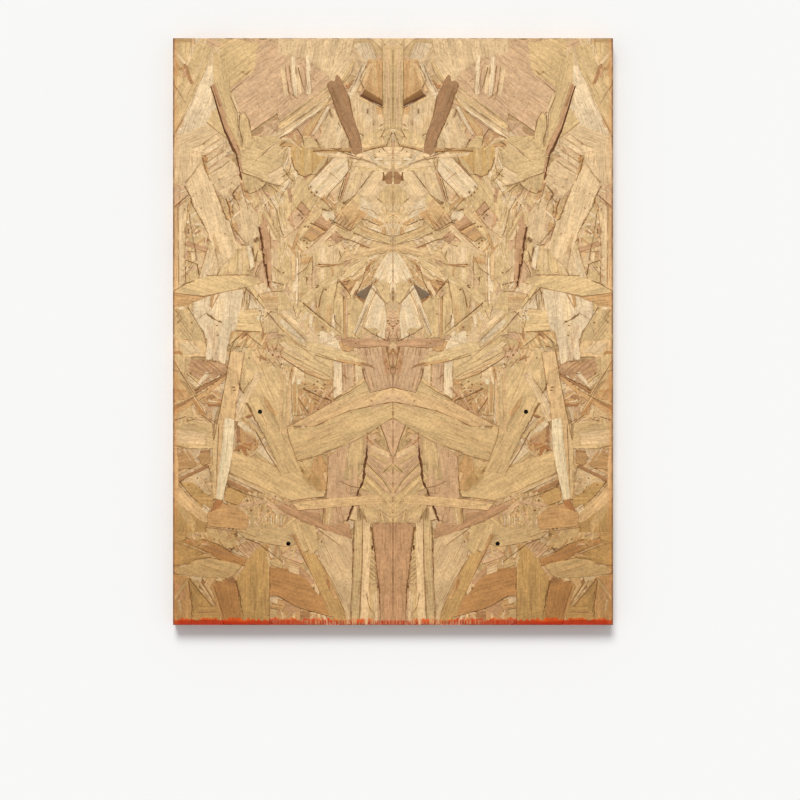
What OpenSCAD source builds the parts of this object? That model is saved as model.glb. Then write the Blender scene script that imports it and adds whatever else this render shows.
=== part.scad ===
// Oriented strand board, a cut panel lying flat.
// +X runs across the board, +Y along its length, +Z up out of its face.
// The origin is on the underside, in the middle of the board's length and width.

/* [Board] */
// Width across the board
board_w = 450; // [300:5:675]
// Length from the marked edge to the far edge
board_l = 600; // [450:5:2500]
// Thickness through the pressed strands
board_t = 18; // [6:1:30]
// Width of the worn arris along every sawn corner
arris = 0.6; // [0.2:0.1:1.5]

/* [Fixing holes] */
// Diameter of the drilled holes
hole_d = 4.5; // [3:0.5:8]
// Spacing across the board of the two holes nearest the marked edge
near_spacing = 214; // [60:2:280]
// Distance of the near holes from the marked edge
near_setback = 83; // [20:1:150]
// Spacing across the board of the two far holes
far_spacing = 272; // [60:2:280]
// Distance of the far holes from the marked edge
far_setback = 218; // [160:1:420]

/* [Hidden] */
hole_fn = 64;
// How far a cutting tool runs past the face that it leaves
overcut = 1;
// The sawn edge that carries the marking paint
marked_edge_y = -board_l / 2;
// Each row of holes as [spacing, distance from the marked edge]
hole_rows = [[near_spacing, near_setback], [far_spacing, far_setback]];

// A rectangle w by h about the origin, with each corner cut back by c.
module eased_rectangle(w, h, c) {
    half_w = w / 2;
    half_h = h / 2;
    polygon([
        [-half_w + c, -half_h], [half_w - c, -half_h],
        [half_w, -half_h + c], [half_w, half_h - c],
        [half_w - c, half_h], [-half_w + c, half_h],
        [-half_w, half_h - c], [-half_w, -half_h + c]
    ]);
}

// The plan, the cross section and the long section, each run through the
// board. Where the three meet, every sawn corner has its arris.
module pressed_panel() {
    intersection() {
        linear_extrude(board_t)
            eased_rectangle(board_w, board_l, arris);
        translate([0, board_l / 2, board_t / 2])
            rotate([90, 0, 0])
                linear_extrude(board_l)
                    eased_rectangle(board_w, board_t, arris);
        translate([-board_w / 2, 0, board_t / 2])
            rotate([90, 0, 90])
                linear_extrude(board_w)
                    eased_rectangle(board_l, board_t, arris);
    }
}

// One drill pass through the board, running past both faces.
module drilled_hole(x, y) {
    translate([x, y, -overcut])
        cylinder(h = board_t + 2 * overcut, d = hole_d, $fn = hole_fn);
}

module osb_board() {
    color([0.80, 0.64, 0.44])
        difference() {
            pressed_panel();
            for (row = hole_rows, side = [-1, 1])
                drilled_hole(side * row[0] / 2, marked_edge_y + row[1]);
        }
}

osb_board();
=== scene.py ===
"""Oriented strand board panel: pressed strands on both faces, sawn edges, drilled holes.

The panel lies flat. +X runs across it, +Y along it away from the painted edge, +Z out of
the upper face. Every surface is a mat of strands: overlapping outlines are cut into one
planar arrangement, the uppermost strand owns each triangle, and the heights form grooves
along the strands' edges.
"""

from __future__ import annotations

import logging
import math
from dataclasses import dataclass, field
from enum import Enum

import bpy
import numpy as np
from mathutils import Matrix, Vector
from mathutils.geometry import delaunay_2d_cdt


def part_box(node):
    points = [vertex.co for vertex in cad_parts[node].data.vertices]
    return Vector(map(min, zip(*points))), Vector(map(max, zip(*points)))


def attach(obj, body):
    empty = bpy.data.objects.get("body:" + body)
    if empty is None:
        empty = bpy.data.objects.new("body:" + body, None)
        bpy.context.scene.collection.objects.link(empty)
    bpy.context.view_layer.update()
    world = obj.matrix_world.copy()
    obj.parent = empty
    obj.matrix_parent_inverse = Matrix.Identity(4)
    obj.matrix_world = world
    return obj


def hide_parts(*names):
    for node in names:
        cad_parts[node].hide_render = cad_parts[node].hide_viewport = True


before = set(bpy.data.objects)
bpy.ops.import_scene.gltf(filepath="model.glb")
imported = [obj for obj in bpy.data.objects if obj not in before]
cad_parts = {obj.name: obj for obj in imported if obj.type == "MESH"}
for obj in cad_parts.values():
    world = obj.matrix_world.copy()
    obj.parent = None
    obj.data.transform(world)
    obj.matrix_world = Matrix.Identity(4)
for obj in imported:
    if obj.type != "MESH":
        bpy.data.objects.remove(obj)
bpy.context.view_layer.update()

log = logging.getLogger("osb_board")
MM = 0.001
# Past every height, depth and reach that a mat compares, in millimetres.
FAR = 99.0
# How far inside a face the wall of a drilled hole starts, in millimetres.
MOUTH_DEPTH = 0.45


Pair = tuple[float, float]
Triple = tuple[float, float, float]
Socket = bpy.types.NodeSocket


class Tone(Enum):
    """Wood colours of single strands, as display values from 0 to 255."""

    MILK = (225, 200, 160)
    CREAM = (220, 190, 150)
    SAND = (210, 175, 130)
    PALE = (215, 180, 135)
    STRAW = (210, 175, 125)
    HONEY = (215, 175, 125)
    TAN = (205, 170, 120)
    PINK = (205, 165, 125)
    BUFF = (195, 150, 100)
    OCHRE = (190, 150, 95)
    ROSE = (190, 145, 105)
    ORANGE = (180, 130, 80)
    RUST = (175, 120, 75)
    BROWN = (165, 120, 80)
    COCOA = (155, 115, 80)
    # UMBER and BARK also colour the insides of cracks, pits and voids: partly resin, partly painted
    # shade.
    UMBER = (135, 95, 55)
    SLATE = (120, 100, 80)
    BARK = (100, 60, 35)


(MILK, CREAM, SAND, PALE, STRAW, HONEY, TAN, PINK, BUFF, OCHRE, ROSE, ORANGE, RUST, BROWN,
 COCOA, UMBER, SLATE, BARK) = Tone


def linear(rgb: tuple[int, int, int] | list[tuple[int, int, int]]) -> np.ndarray:
    """Turns display values from 0 to 255 into linear light.

    Args:
        rgb: Red, green and blue as display values, for one colour or a list of them.

    Returns:
        The same colours in linear light, by the display curve's own formula.
    """
    c = np.asarray(rgb, dtype=float) / 255.0
    return np.where(c <= 0.04045, c / 12.92, ((c + 0.055) / 1.055) ** 2.4)


class Kind(Enum):
    """What an outline stands for."""

    STRAND = "strand"
    PATCH = "patch"
    GAP = "gap"
    HOLE = "hole"


@dataclass
class Strand:
    """One outline of the mat, in millimetres of its own face.

    Attributes:
        outline: Its closed outline.
        tone: Its wood colour.
        grain: Direction of its grain, in radians.
        level: Height of its surface above the face, nought or negative.
        kind: What it stands for.
        shade: Multiplier on its colour.
        seed: Where its own fibres start in the noise.
        tilt: Slope of its surface along both axes.
        bite: Depth and darkness of its edge, from 0 to 1.
    """

    outline: np.ndarray
    tone: Tone
    grain: float
    level: float
    kind: Kind = Kind.STRAND
    shade: float = 1.0
    seed: float = 0.0
    tilt: Pair = (0.0, 0.0)
    bite: float = 1.0


@dataclass(frozen=True)
class Panel:
    """Sizes of the panel, in millimetres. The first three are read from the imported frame.

    Attributes:
        hole_rows: Each row of holes as its distances from the middle line and the painted edge.
    """

    width: float
    length: float
    thickness: float
    arris: float = 0.6
    hole_d: float = 4.5
    hole_rows: tuple[Pair, ...] = ((107.0, 83.0), (136.0, 218.0))

    @property
    def half_width(self) -> float:
        """Distance from the middle line to a long edge."""
        return self.width / 2


@dataclass
class StrandShaper:
    """Draws single outlines: cut strands, flakes given by their corners, cracks and holes.

    Attributes:
        rng: The source of every draw.
        side_step: Length of the steps along the grain.
        end_step: Length of the steps across a broken end.
        side_wobble: How far the steps along the grain stray.
        end_wobble: How far the steps across an end stray.
        shade_spread: How much the shades of strands differ.
        bites: Weakest and strongest edge of a strand.
        slim: Share of its written width that a crack is open.
    """

    rng: np.random.Generator
    side_step: float = 8.0
    end_step: float = 2.4
    side_wobble: float = 0.16
    end_wobble: float = 0.45
    shade_spread: float = 0.04
    bites: Pair = (0.1, 0.7)
    slim: float = 0.85

    def roughen(self, corners: np.ndarray, grain: float, rough: float = 1.0) -> np.ndarray:
        """Breaks a polygon's sides into short steps and shakes them, ends more than flanks.

        A side within 35 degrees of the grain is a flank, split every side_step and moved
        across itself by side_wobble. Any other side is a broken end.

        Args:
            corners: The polygon's corners, in order.
            grain: Direction of the grain, in radians.
            rough: Multiplier on the wobble.

        Returns:
            The finer outline.
        """
        after = np.roll(corners, -1, axis=0)
        run = after - corners
        length = np.hypot(run[:, 0], run[:, 1]) + 1e-9
        off_grain = np.abs(np.sin(np.arctan2(run[:, 1], run[:, 0]) - grain))
        flank = off_grain < math.sin(math.radians(35))
        steps = np.maximum(1, np.round(length / np.where(flank, self.side_step, self.end_step)))
        steps = steps.astype(int)
        index = np.repeat(np.arange(len(corners)), steps)
        first = np.concatenate([[0], np.cumsum(steps)[:-1]])
        share = (np.arange(len(index)) - first[index]) / steps[index]
        across = np.stack([-run[:, 1], run[:, 0]], axis=1) / length[:, None]
        wobble = np.where(flank, self.side_wobble, self.end_wobble)[index] * rough
        wobble = wobble * self.rng.normal(0, 1, len(index)) * (share > 0)
        return corners[index] + run[index] * share[:, None] + across[index] * wobble[:, None]

    def flake(self, tone: Tone, corners: np.ndarray, level: float) -> Strand:
        """A flake given by its corners. Its first side runs along the grain.

        Args:
            tone: Its wood colour.
            corners: Corners in millimetres of the face.
            level: Height of its surface below the face, as a negative number.

        Returns:
            The strand.
        """
        run = corners[1] - corners[0]
        grain = math.atan2(run[1], run[0])
        return self.finish(self.roughen(corners, grain), tone, grain, level)

    def lath(self, tone: Tone, start: np.ndarray, end: np.ndarray, widths: Pair,
             level: float) -> Strand:
        """A narrow strand between two points, with its own width at each end.

        Args:
            tone: Its wood colour.
            start: Middle of one end, in millimetres.
            end: Middle of the other end.
            widths: Width at the start and at the end.
            level: Height below the face, negative.

        Returns:
            The strand, with slanted ends.
        """
        run = end - start
        length = math.hypot(*run) + 1e-9
        along, across = run / length, np.array([-run[1], run[0]]) / length
        cut = self.rng.uniform(-0.6, 0.6, 4) * np.repeat(widths, 2)
        corners = np.array([
            start + across * widths[0] / 2 + along * cut[0],
            end + across * widths[1] / 2 + along * cut[2],
            end - across * widths[1] / 2 + along * cut[3],
            start - across * widths[0] / 2 + along * cut[1],
        ])
        grain = math.atan2(run[1], run[0])
        return self.finish(self.roughen(corners, grain), tone, grain, level)

    def finish(self, outline: np.ndarray, tone: Tone, grain: float, level: float) -> Strand:
        """Gives a strand its own shade, seed, slight tilt and bite, the strength of its edge.

        Args:
            outline: The finished outline.
            tone: Its wood colour.
            grain: Direction of the grain, in radians.
            level: Height below the face.

        Returns:
            The strand.
        """
        return Strand(outline, tone, grain, level,
                      shade=float(self.rng.normal(1.0, self.shade_spread)),
                      seed=float(self.rng.uniform(0, 50)),
                      tilt=tuple(self.rng.normal(0, 0.0015, 2)),
                      bite=float(self.rng.uniform(*self.bites)))

    def crack(self, path: np.ndarray, widths: Pair, depth: float, tone: Tone) -> Strand:
        """An open crack that follows some points and tapers between two widths.

        Args:
            path: Points along its middle.
            widths: Width at its first and at its last point.
            depth: How deep it goes.
            tone: Colour of its inside, darker than the wood: partly resin, partly painted shade in
                the crack.

        Returns:
            The gap.
        """
        run = np.gradient(path, axis=0)
        across = np.stack([-run[:, 1], run[:, 0]], axis=1) / np.hypot(run[:, 0], run[:, 1])[:, None]
        half = np.linspace(widths[0], widths[1], len(path)) * self.slim / 2
        left, right = path + across * half[:, None], path - across * half[:, None]
        grain = math.atan2(run[0][1], run[0][0])
        torn = widths[0] > 1.5
        outline = self.roughen(np.concatenate([left, right[::-1]]), grain + math.pi / 2 * torn,
                               0.9 if torn else 0.4)
        return Strand(outline, tone, grain, -depth, Kind.GAP, seed=float(self.rng.uniform(0, 50)))

    def hole(self, centre: Pair, radius: float, sides: int) -> Strand:
        """The mouth of a drilled hole, as a circle.

        Args:
            centre: Its middle, in millimetres.
            radius: Its radius.
            sides: Number of points on the circle.

        Returns:
            The hole.
        """
        turn = 2 * math.pi * np.arange(sides) / sides
        circle = np.array(centre) + radius * np.stack([np.cos(turn), np.sin(turn)], axis=1)
        return Strand(circle, BARK, 0.0, 0.0, Kind.HOLE)


@dataclass
class RandomFill:
    """Scatters cut strands over a face, from the bed of the mat up to its fines."""

    shaper: StrandShaper
    size: Pair
    tones: tuple[Tone, ...]
    lean: float = 90.0
    spread: float = 55.0

    def scatter(self, count: int, lengths: Pair, widths: Pair, levels: Pair) -> list[Strand]:
        """Scatters one size class of strands. Lengths and widths are drawn evenly in their logs.

        Args:
            count: How many.
            lengths: Shortest and longest.
            widths: Narrowest and widest.
            levels: Deepest and highest surface.

        Returns:
            The strands, deepest first.
        """
        rng = self.shaper.rng
        centres = rng.uniform((-5, -5), (self.size[0] + 5, self.size[1] + 5), (count, 2))
        turn = np.radians(rng.normal(self.lean, self.spread, count))
        length = np.exp(rng.uniform(*np.log(lengths), count))
        width = np.exp(rng.uniform(*np.log(widths), count))
        taper = rng.uniform(0.45, 1.0, count)
        level = np.linspace(*levels, count)
        tones = rng.choice(len(self.tones), count)
        half = np.stack([np.cos(turn), np.sin(turn)], axis=1) * length[:, None] / 2
        return [
            self.shaper.lath(self.tones[tones[i]], centres[i] - half[i], centres[i] + half[i],
                             (width[i], width[i] * taper[i]), level[i])
            for i in range(count)
        ]

    def sizes(self, layers: tuple[tuple[int, Pair, Pair, Pair], ...]) -> list[Strand]:
        """Scatters several size classes one over the other, each given as scatter takes it."""
        return [strand for layer in layers for strand in self.scatter(*layer)]


# Strands under the laid ones and on the back: how many, and the ranges of their lengths,
# widths and levels.
UNDER_LAYERS = (
    (200, (40, 120), (14, 34), (-0.9, -0.6)),
    (160, (25, 80), (5, 16), (-0.6, -0.35)),
    (220, (8, 35), (1.5, 6), (-0.4, -0.2)),
)
BACK_LAYERS = (
    (260, (60, 150), (16, 42), (-0.7, -0.3)),
    (300, (25, 90), (6, 18), (-0.4, -0.1)),
    (260, (8, 40), (1.5, 6), (-0.2, 0.0)),
)


@dataclass
class MatMesh:
    """A finished mat: points, heights, triangles, and what each corner looks like.

    Attributes:
        points: Places on the face, in millimetres.
        heights: Height of each point above the face, nought or negative.
        triangles: Three point numbers a row.
        tone: Wood colour at each corner, in linear light.
        grain: Place along and across the grain, and the strand's seed.
        resin_and_shade: Darkness of the rim and depth below the face, from 0 to 1: partly resin,
            partly painted shade in grooves and recesses. The third is unused.
        uv: Place on the bake sheet.
    """

    points: np.ndarray
    heights: np.ndarray
    triangles: np.ndarray
    tone: np.ndarray
    grain: np.ndarray
    resin_and_shade: np.ndarray
    uv: np.ndarray


@dataclass
class OwnerMap:
    """A fine grid over a face that holds the number of the uppermost strand in each cell.

    Number 0 is the bed. Every question about what shows where starts here, and only the
    cells along an outline are then settled exactly.
    """

    size: Pair
    outlines: list[np.ndarray]
    cell: float = 0.5
    owner: np.ndarray = field(init=False)

    def __post_init__(self) -> None:
        """Lays the strands into the grid in painter's order."""
        shape = (int(math.ceil(self.size[1] / self.cell)), int(math.ceil(self.size[0] / self.cell)))
        self.owner = np.zeros(shape, dtype=np.int32)
        for number, outline in enumerate(self.outlines, start=1):
            self.fill(outline, number)

    def fill(self, outline: np.ndarray, number: int) -> None:
        """Fills one outline, row by row.

        In each row of cells, every side of the outline that crosses the row's middle flips
        the cells to its right, so a cell flipped an odd number of times is inside.

        Args:
            outline: The closed outline.
            number: The strand's number.
        """
        rows, columns = self.owner.shape
        low = np.floor(outline.min(axis=0) / self.cell).astype(int)
        high = np.ceil(outline.max(axis=0) / self.cell).astype(int)
        x0, y0 = max(low[0], 0), max(low[1], 0)
        x1, y1 = min(high[0], columns), min(high[1], rows)
        if x0 >= x1 or y0 >= y1:
            return
        a, b = outline, np.roll(outline, -1, axis=0)
        y = (np.arange(y0, y1) + 0.5)[:, None] * self.cell
        row, side = np.nonzero((a[:, 1] > y) != (b[:, 1] > y))
        rise = b[side, 1] - a[side, 1]
        cross = a[side, 0] + (y[row, 0] - a[side, 1]) * (b[side, 0] - a[side, 0]) / rise
        column = np.clip(np.ceil(cross / self.cell - 0.5).astype(int) - x0, 0, x1 - x0)
        flips = np.zeros((y1 - y0, x1 - x0 + 1), dtype=np.int32)
        np.add.at(flips, (row, column), 1)
        inside = np.cumsum(flips, axis=1)[:, :-1] % 2 == 1
        self.owner[y0:y1, x0:x1][inside] = number

    def around(self, points: np.ndarray) -> np.ndarray:
        """The numbers in the nine cells around each point.

        Args:
            points: Places on the face.

        Returns:
            Nine numbers a row, with -1 past the face's border.
        """
        padded = np.pad(self.owner, 2, constant_values=-1)
        index = np.floor(points / self.cell).astype(int) + 2
        column = np.clip(index[:, 0], 1, padded.shape[1] - 2)
        row = np.clip(index[:, 1], 1, padded.shape[0] - 2)
        steps = [(i, j) for i in (-1, 0, 1) for j in (-1, 0, 1)]
        return np.stack([padded[row + i, column + j] for i, j in steps], axis=1)

    def owners(self, points: np.ndarray) -> np.ndarray:
        """The uppermost strand at each point, exactly.

        Args:
            points: Places on the face.

        Returns:
            The numbers of the strands, and 0 for the bed.
        """
        near = self.around(points)
        found = np.zeros(len(points), dtype=int)
        pairs = np.unique(np.stack([near.ravel(), np.repeat(np.arange(len(points)), 9)]), axis=1)
        pairs = pairs[:, pairs[0] > 0]
        numbers, starts = np.unique(pairs[0], return_index=True)
        for number, group in zip(numbers, np.split(pairs[1], starts[1:])):
            a = self.outlines[number - 1]
            b = np.roll(a, -1, axis=0)
            x, y = points[group, 0][:, None], points[group, 1][:, None]
            spans = (a[:, 1] > y) != (b[:, 1] > y)
            rise = np.where(a[:, 1] == b[:, 1], 1e-9, b[:, 1] - a[:, 1])
            right = a[:, 0] + (y - a[:, 1]) * (b[:, 0] - a[:, 0]) / rise > x
            inside = np.sum(spans & right, axis=1) % 2 == 1
            found[group[inside]] = np.maximum(found[group[inside]], number)
        return found


@dataclass
class StrandMat:
    """Cuts overlapping strands into one relief surface.

    The visible parts of the outlines go into one constrained Delaunay triangulation. Each
    triangle belongs to the uppermost strand that covers it. Inside each outline runs a bevel
    line, so that the slope into a groove stays as narrow as on pressed strands. A patch only
    tints the strand that it lies in.

    Attributes:
        size: Width and height of the face.
        strands: The strands in painter's order.
        bevel: Distance of the bevel line from the outline.
        bevel_from: Narrowest strand that has one.
        patch_strength: How strongly a patch tints.
        resin_and_shade_reach: How far the dark rim of a groove fades. The rim is partly resin and
            partly painted shade.
        groove: Depth of the groove along an outline.
        bed_level: Height of the bed under all strands.
        bed_shade: Multiplier on the bed's colour.
        deepest: Depth that counts as fully deep, where the painted shade of recesses is darkest.
        arris: Width of the worn corner along the border.
        arris_sides: Whether the left, low, right and high side has one.
        folds: Number of strips that the face is laid out in on the bake sheet.
        cell: Size of the cells of the owner map.
    """

    size: Pair
    strands: list[Strand]
    bevel: float = 0.55
    bevel_from: float = 1.4
    patch_strength: float = 0.6
    resin_and_shade_reach: float = 1.5
    groove: float = 0.16
    bed_level: float = -1.1
    bed_shade: float = 0.85
    deepest: float = 1.2
    arris: float = 0.6
    arris_sides: tuple[bool, bool, bool, bool] = (True, True, True, True)
    folds: int = 1
    cell: float = 0.5

    @property
    def long_axis(self) -> int:
        """Number of the face's longer side."""
        return int(self.size[1] > self.size[0])

    @staticmethod
    def area(outline: np.ndarray) -> float:
        """Area in an outline, negative when it runs clockwise: half the sum of cross products."""
        x, y = outline[:, 0], outline[:, 1]
        return np.sum(x * np.roll(y, -1) - np.roll(x, -1) * y) / 2

    @classmethod
    def offset(cls, outline: np.ndarray, by: float) -> np.ndarray:
        """Moves every point of an outline along the mean normal of its two sides.

        Args:
            outline: The closed outline.
            by: Distance, inwards when positive.

        Returns:
            The offset outline.
        """
        run = np.roll(outline, -1, axis=0) - outline
        normal = np.stack([-run[:, 1], run[:, 0]], axis=1)
        normal /= np.hypot(run[:, 0], run[:, 1])[:, None] + 1e-9
        mean = normal + np.roll(normal, 1, axis=0)
        size = np.hypot(mean[:, 0], mean[:, 1])[:, None]
        mean = mean / np.maximum(size, 0.9) ** 2 * 2
        return outline + mean * by * np.sign(cls.area(outline))

    @classmethod
    def breadth(cls, outline: np.ndarray) -> float:
        """About the width of an outline: four times its area over its perimeter."""
        run = np.roll(outline, -1, axis=0) - outline
        return 4 * abs(cls.area(outline)) / np.hypot(run[:, 0], run[:, 1]).sum()

    @staticmethod
    def samples(start: np.ndarray, end: np.ndarray, count: int) -> np.ndarray:
        """Points spread along each segment, ends included."""
        share = np.linspace(0, 1, count)[None, :, None]
        return start[:, None] + (end - start)[:, None] * share

    def segments(self, owners: OwnerMap) -> tuple[np.ndarray, np.ndarray]:
        """Gathers the visible stretches of every outline and bevel line.

        A stretch of outline shows if its own strand owns a cell beside it. Its bevel line
        then comes with it. A patch has no bevel, and neither has the thinnest sliver.

        Args:
            owners: The grid of uppermost strands.

        Returns:
            The starts and the ends of all stretches.
        """
        starts, ends = [], []
        for number, strand in enumerate(self.strands, start=1):
            outline = strand.outline
            after = np.roll(outline, -1, axis=0)
            count = int(np.clip(np.hypot(*(after - outline).T).max() / self.cell, 3, 24))
            flat = self.samples(outline, after, count).reshape(-1, 2)
            shows = (owners.around(flat) == number).any(axis=1).reshape(-1, count).any(axis=1)
            if not shows.any():
                continue
            starts.append(outline[shows])
            ends.append(after[shows])
            breadth = self.breadth(outline)
            if strand.kind in (Kind.HOLE, Kind.PATCH) or breadth < self.bevel_from:
                continue
            inner = self.offset(outline, min(self.bevel, 0.28 * breadth))
            starts.append(inner[shows])
            ends.append(np.roll(inner, -1, axis=0)[shows])
        return np.concatenate(starts), np.concatenate(ends)

    def frame_lines(self) -> tuple[np.ndarray, np.ndarray]:
        """Gathers the border, the arris line inside it and the cuts between folds.

        Returns:
            The starts and the ends of all lines.
        """
        w, h = self.size
        a = self.arris
        left, low, right, high = (a * side for side in self.arris_sides)
        loops = [[(0, 0), (w, 0), (w, h), (0, h)]]
        if a > 0:
            loops.append([(left, low), (w - right, low), (w - right, h - high), (left, h - high)])
        starts = [np.array(loop, dtype=float) for loop in loops]
        ends = [np.roll(loop, -1, axis=0) for loop in starts]
        for i in range(1, self.folds):
            at = self.size[self.long_axis] * i / self.folds
            start, end = ((0, at), (w, at)) if self.long_axis else ((at, 0), (at, h))
            starts.append(np.array([start], dtype=float))
            ends.append(np.array([end], dtype=float))
        return np.concatenate(starts), np.concatenate(ends)

    def triangulate(self, owners: OwnerMap) -> tuple[np.ndarray, np.ndarray, np.ndarray]:
        """Triangulates the visible lines and gives every triangle its uppermost strand.

        Args:
            owners: The grid of uppermost strands.

        Returns:
            The points, the triangles inside the border, and their strands' numbers.
        """
        starts, ends = map(np.concatenate, zip(self.frame_lines(), self.segments(owners)))
        margin = 1.5
        size = np.array(self.size)
        below, above = np.maximum(starts, ends) < -margin, np.minimum(starts, ends) > size + margin
        keep = ~(below | above).any(axis=1)
        ends_in_order = np.stack([starts[keep], ends[keep]], axis=1).reshape(-1, 2)
        points, index = np.unique(np.round(ends_in_order, 3), axis=0, return_inverse=True)
        lines = np.unique(np.sort(index.reshape(-1, 2), axis=1), axis=0)
        lines = lines[lines[:, 0] != lines[:, 1]]
        found = delaunay_2d_cdt([Vector(p) for p in points.tolist()], lines.tolist(), [], 0, 1e-4,
                                False)
        xy = np.array([v[:] for v in found[0]], dtype=float)
        tri = np.array(found[2], dtype=int)
        middle = xy[tri].mean(axis=1)
        inside = ((middle > 0) & (middle < size)).all(axis=1)
        a, b, c = xy[tri[:, 0]], xy[tri[:, 1]], xy[tri[:, 2]]
        area = (b - a)[:, 0] * (c - a)[:, 1] - (b - a)[:, 1] * (c - a)[:, 0]
        tri = np.where(area[:, None] < 0, tri[:, ::-1], tri)
        tri, middle = tri[inside & (area != 0)], middle[inside & (area != 0)]
        return xy, tri, owners.owners(middle)

    def resin_and_shade_share(self, xy: np.ndarray, tri: np.ndarray, resin_and_shade: np.ndarray) -> np.ndarray:
        """How much of the rim darkening at its corners a triangle shows, from 0 to 1.

        The rim darkening, partly resin and partly painted shade, falls from 1 on a groove to 0
        beside it.
        Its steepness over the triangle is the length of the gradient of the linear function through
        the three corners. A wide triangle, where it would fade over centimetres, shows next to
        none.

        Args:
            xy: The mat's points.
            tri: The triangles.
            resin_and_shade: Rim darkening at each point, partly resin and partly painted shade.

        Returns:
            One share for each triangle.
        """
        a, b, c = xy[tri[:, 0]], xy[tri[:, 1]], xy[tri[:, 2]]
        ab, ac = b - a, c - a
        area = np.abs(ab[:, 0] * ac[:, 1] - ab[:, 1] * ac[:, 0]) + 1e-9
        rise_b, rise_c = resin_and_shade[tri[:, 1]] - resin_and_shade[tri[:, 0]], resin_and_shade[tri[:, 2]] - resin_and_shade[tri[:, 0]]
        slope = np.hypot(rise_b * ac[:, 1] - rise_c * ab[:, 1],
                         rise_c * ab[:, 0] - rise_b * ac[:, 0])
        side = np.sqrt(np.maximum.reduce([np.sum(e * e, axis=1) for e in (ab, ac, c - b)]))
        flat_share = 0.35 * np.clip(0.9 * side / area, 0, 1)
        return np.where(slope > 1e-6, np.clip(self.resin_and_shade_reach * slope / area, 0, 1), flat_share)

    def relief(self, xy: np.ndarray, corner: np.ndarray, owner: np.ndarray, plane: np.ndarray,
               gap: np.ndarray, bite: np.ndarray) -> tuple[np.ndarray, np.ndarray, np.ndarray]:
        """Works out the height of every point, before the arris.

        A point inside a strand lies on that strand's plane. A point on an outline lies a
        groove's depth below the lowest plane that meets there, and beside a gap it lies
        just below the strand that the gap cuts.

        Args:
            xy: The mat's points.
            corner: Point number of each triangle's corner.
            owner: Strand number of each corner.
            plane: Height of the strand's plane at each corner.
            gap: Whether each corner lies in a gap.
            bite: Each strand's bite.

        Returns:
            The heights, the strength of the edge, and whether a point lies on an outline.
        """
        n = len(xy)
        lowest, highest = np.full(n, FAR), np.full(n, -FAR)
        np.minimum.at(lowest, corner, plane)
        np.maximum.at(highest, corner, np.where(gap, -FAR, plane))
        first, last = np.full(n, len(self.strands) + 1), np.full(n, -1)
        np.minimum.at(first, corner, owner)
        np.maximum.at(last, corner, owner)
        gap_touch = np.zeros(n, bool)
        gap_touch[corner[gap]] = True
        on_edge = first != last
        edge = np.where(on_edge, bite[np.maximum(last, 0)], 0.0)
        groove = self.groove * (1 + 0.75 * self.ripple(xy)) * (0.3 + 0.7 * edge)
        heights = np.where(on_edge, lowest - groove, lowest)
        beside_gap = on_edge & gap_touch & (highest > -FAR)
        return np.where(beside_gap, highest - 0.5 * groove, heights), edge, on_edge

    def ease_arris(self, xy: np.ndarray, heights: np.ndarray) -> np.ndarray:
        """Slopes the outermost strip down at 45 degrees, by each point's distance from its side.

        Args:
            xy: The mat's points.
            heights: Their heights before.

        Returns:
            The heights with the arris.
        """
        w, h = self.size
        reaches = (xy[:, 0], xy[:, 1], w - xy[:, 0], h - xy[:, 1])
        border = np.minimum.reduce([np.where(side, reach, FAR)
                                    for side, reach in zip(self.arris_sides, reaches)])
        slope = heights - np.clip(self.arris - border, 0, self.arris)
        return np.where(border < 1e-3, -self.arris, slope)

    def build(self) -> MatMesh:
        """Triangulates the mat and works out heights and corner values.

        Returns:
            The finished mat.
        """
        bed = Strand(np.zeros((1, 2)), TAN, 0.0, self.bed_level, shade=self.bed_shade, bite=0.0)
        layers = [bed, *self.strands]
        is_hole, is_gap, is_patch = (np.array([s.kind is kind for s in layers])
                                     for kind in (Kind.HOLE, Kind.GAP, Kind.PATCH))
        owners = OwnerMap(self.size, [s.outline for s in self.strands], self.cell)
        xy, tri, top = self.triangulate(owners)
        rims = np.unique(tri[is_hole[top]])
        solid = ~is_hole[top]
        tri, top = tri[solid], top[solid]
        nowhere = np.full((3, 2), -FAR)
        bearers = OwnerMap(self.size, [nowhere if s.kind is Kind.PATCH else s.outline
                                       for s in self.strands], self.cell)
        seen, top = top, np.where(is_patch[top], bearers.owners(xy[tri].mean(axis=1)), top)

        centre = np.array([s.outline.mean(axis=0) for s in layers])
        tilt = np.array([s.tilt for s in layers])
        level, grain, seed, bite, shade = np.array(
            [(s.level, s.grain, s.seed, s.bite, s.shade) for s in layers]).T
        corner, owner = tri.ravel(), np.repeat(top, 3)
        away = xy[corner] - centre[owner]
        plane = np.minimum(level[owner] + np.sum(away * tilt[owner], axis=1), 0.0)
        heights, edge, on_edge = self.relief(xy, corner, owner, plane, is_gap[owner], bite)
        heights[rims] = -MOUTH_DEPTH
        heights = self.ease_arris(xy, heights)

        turn = grain[owner]
        along = away[:, 0] * np.cos(turn) + away[:, 1] * np.sin(turn)
        across = away[:, 1] * np.cos(turn) - away[:, 0] * np.sin(turn)
        used, corner = np.unique(corner, return_inverse=True)
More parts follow.
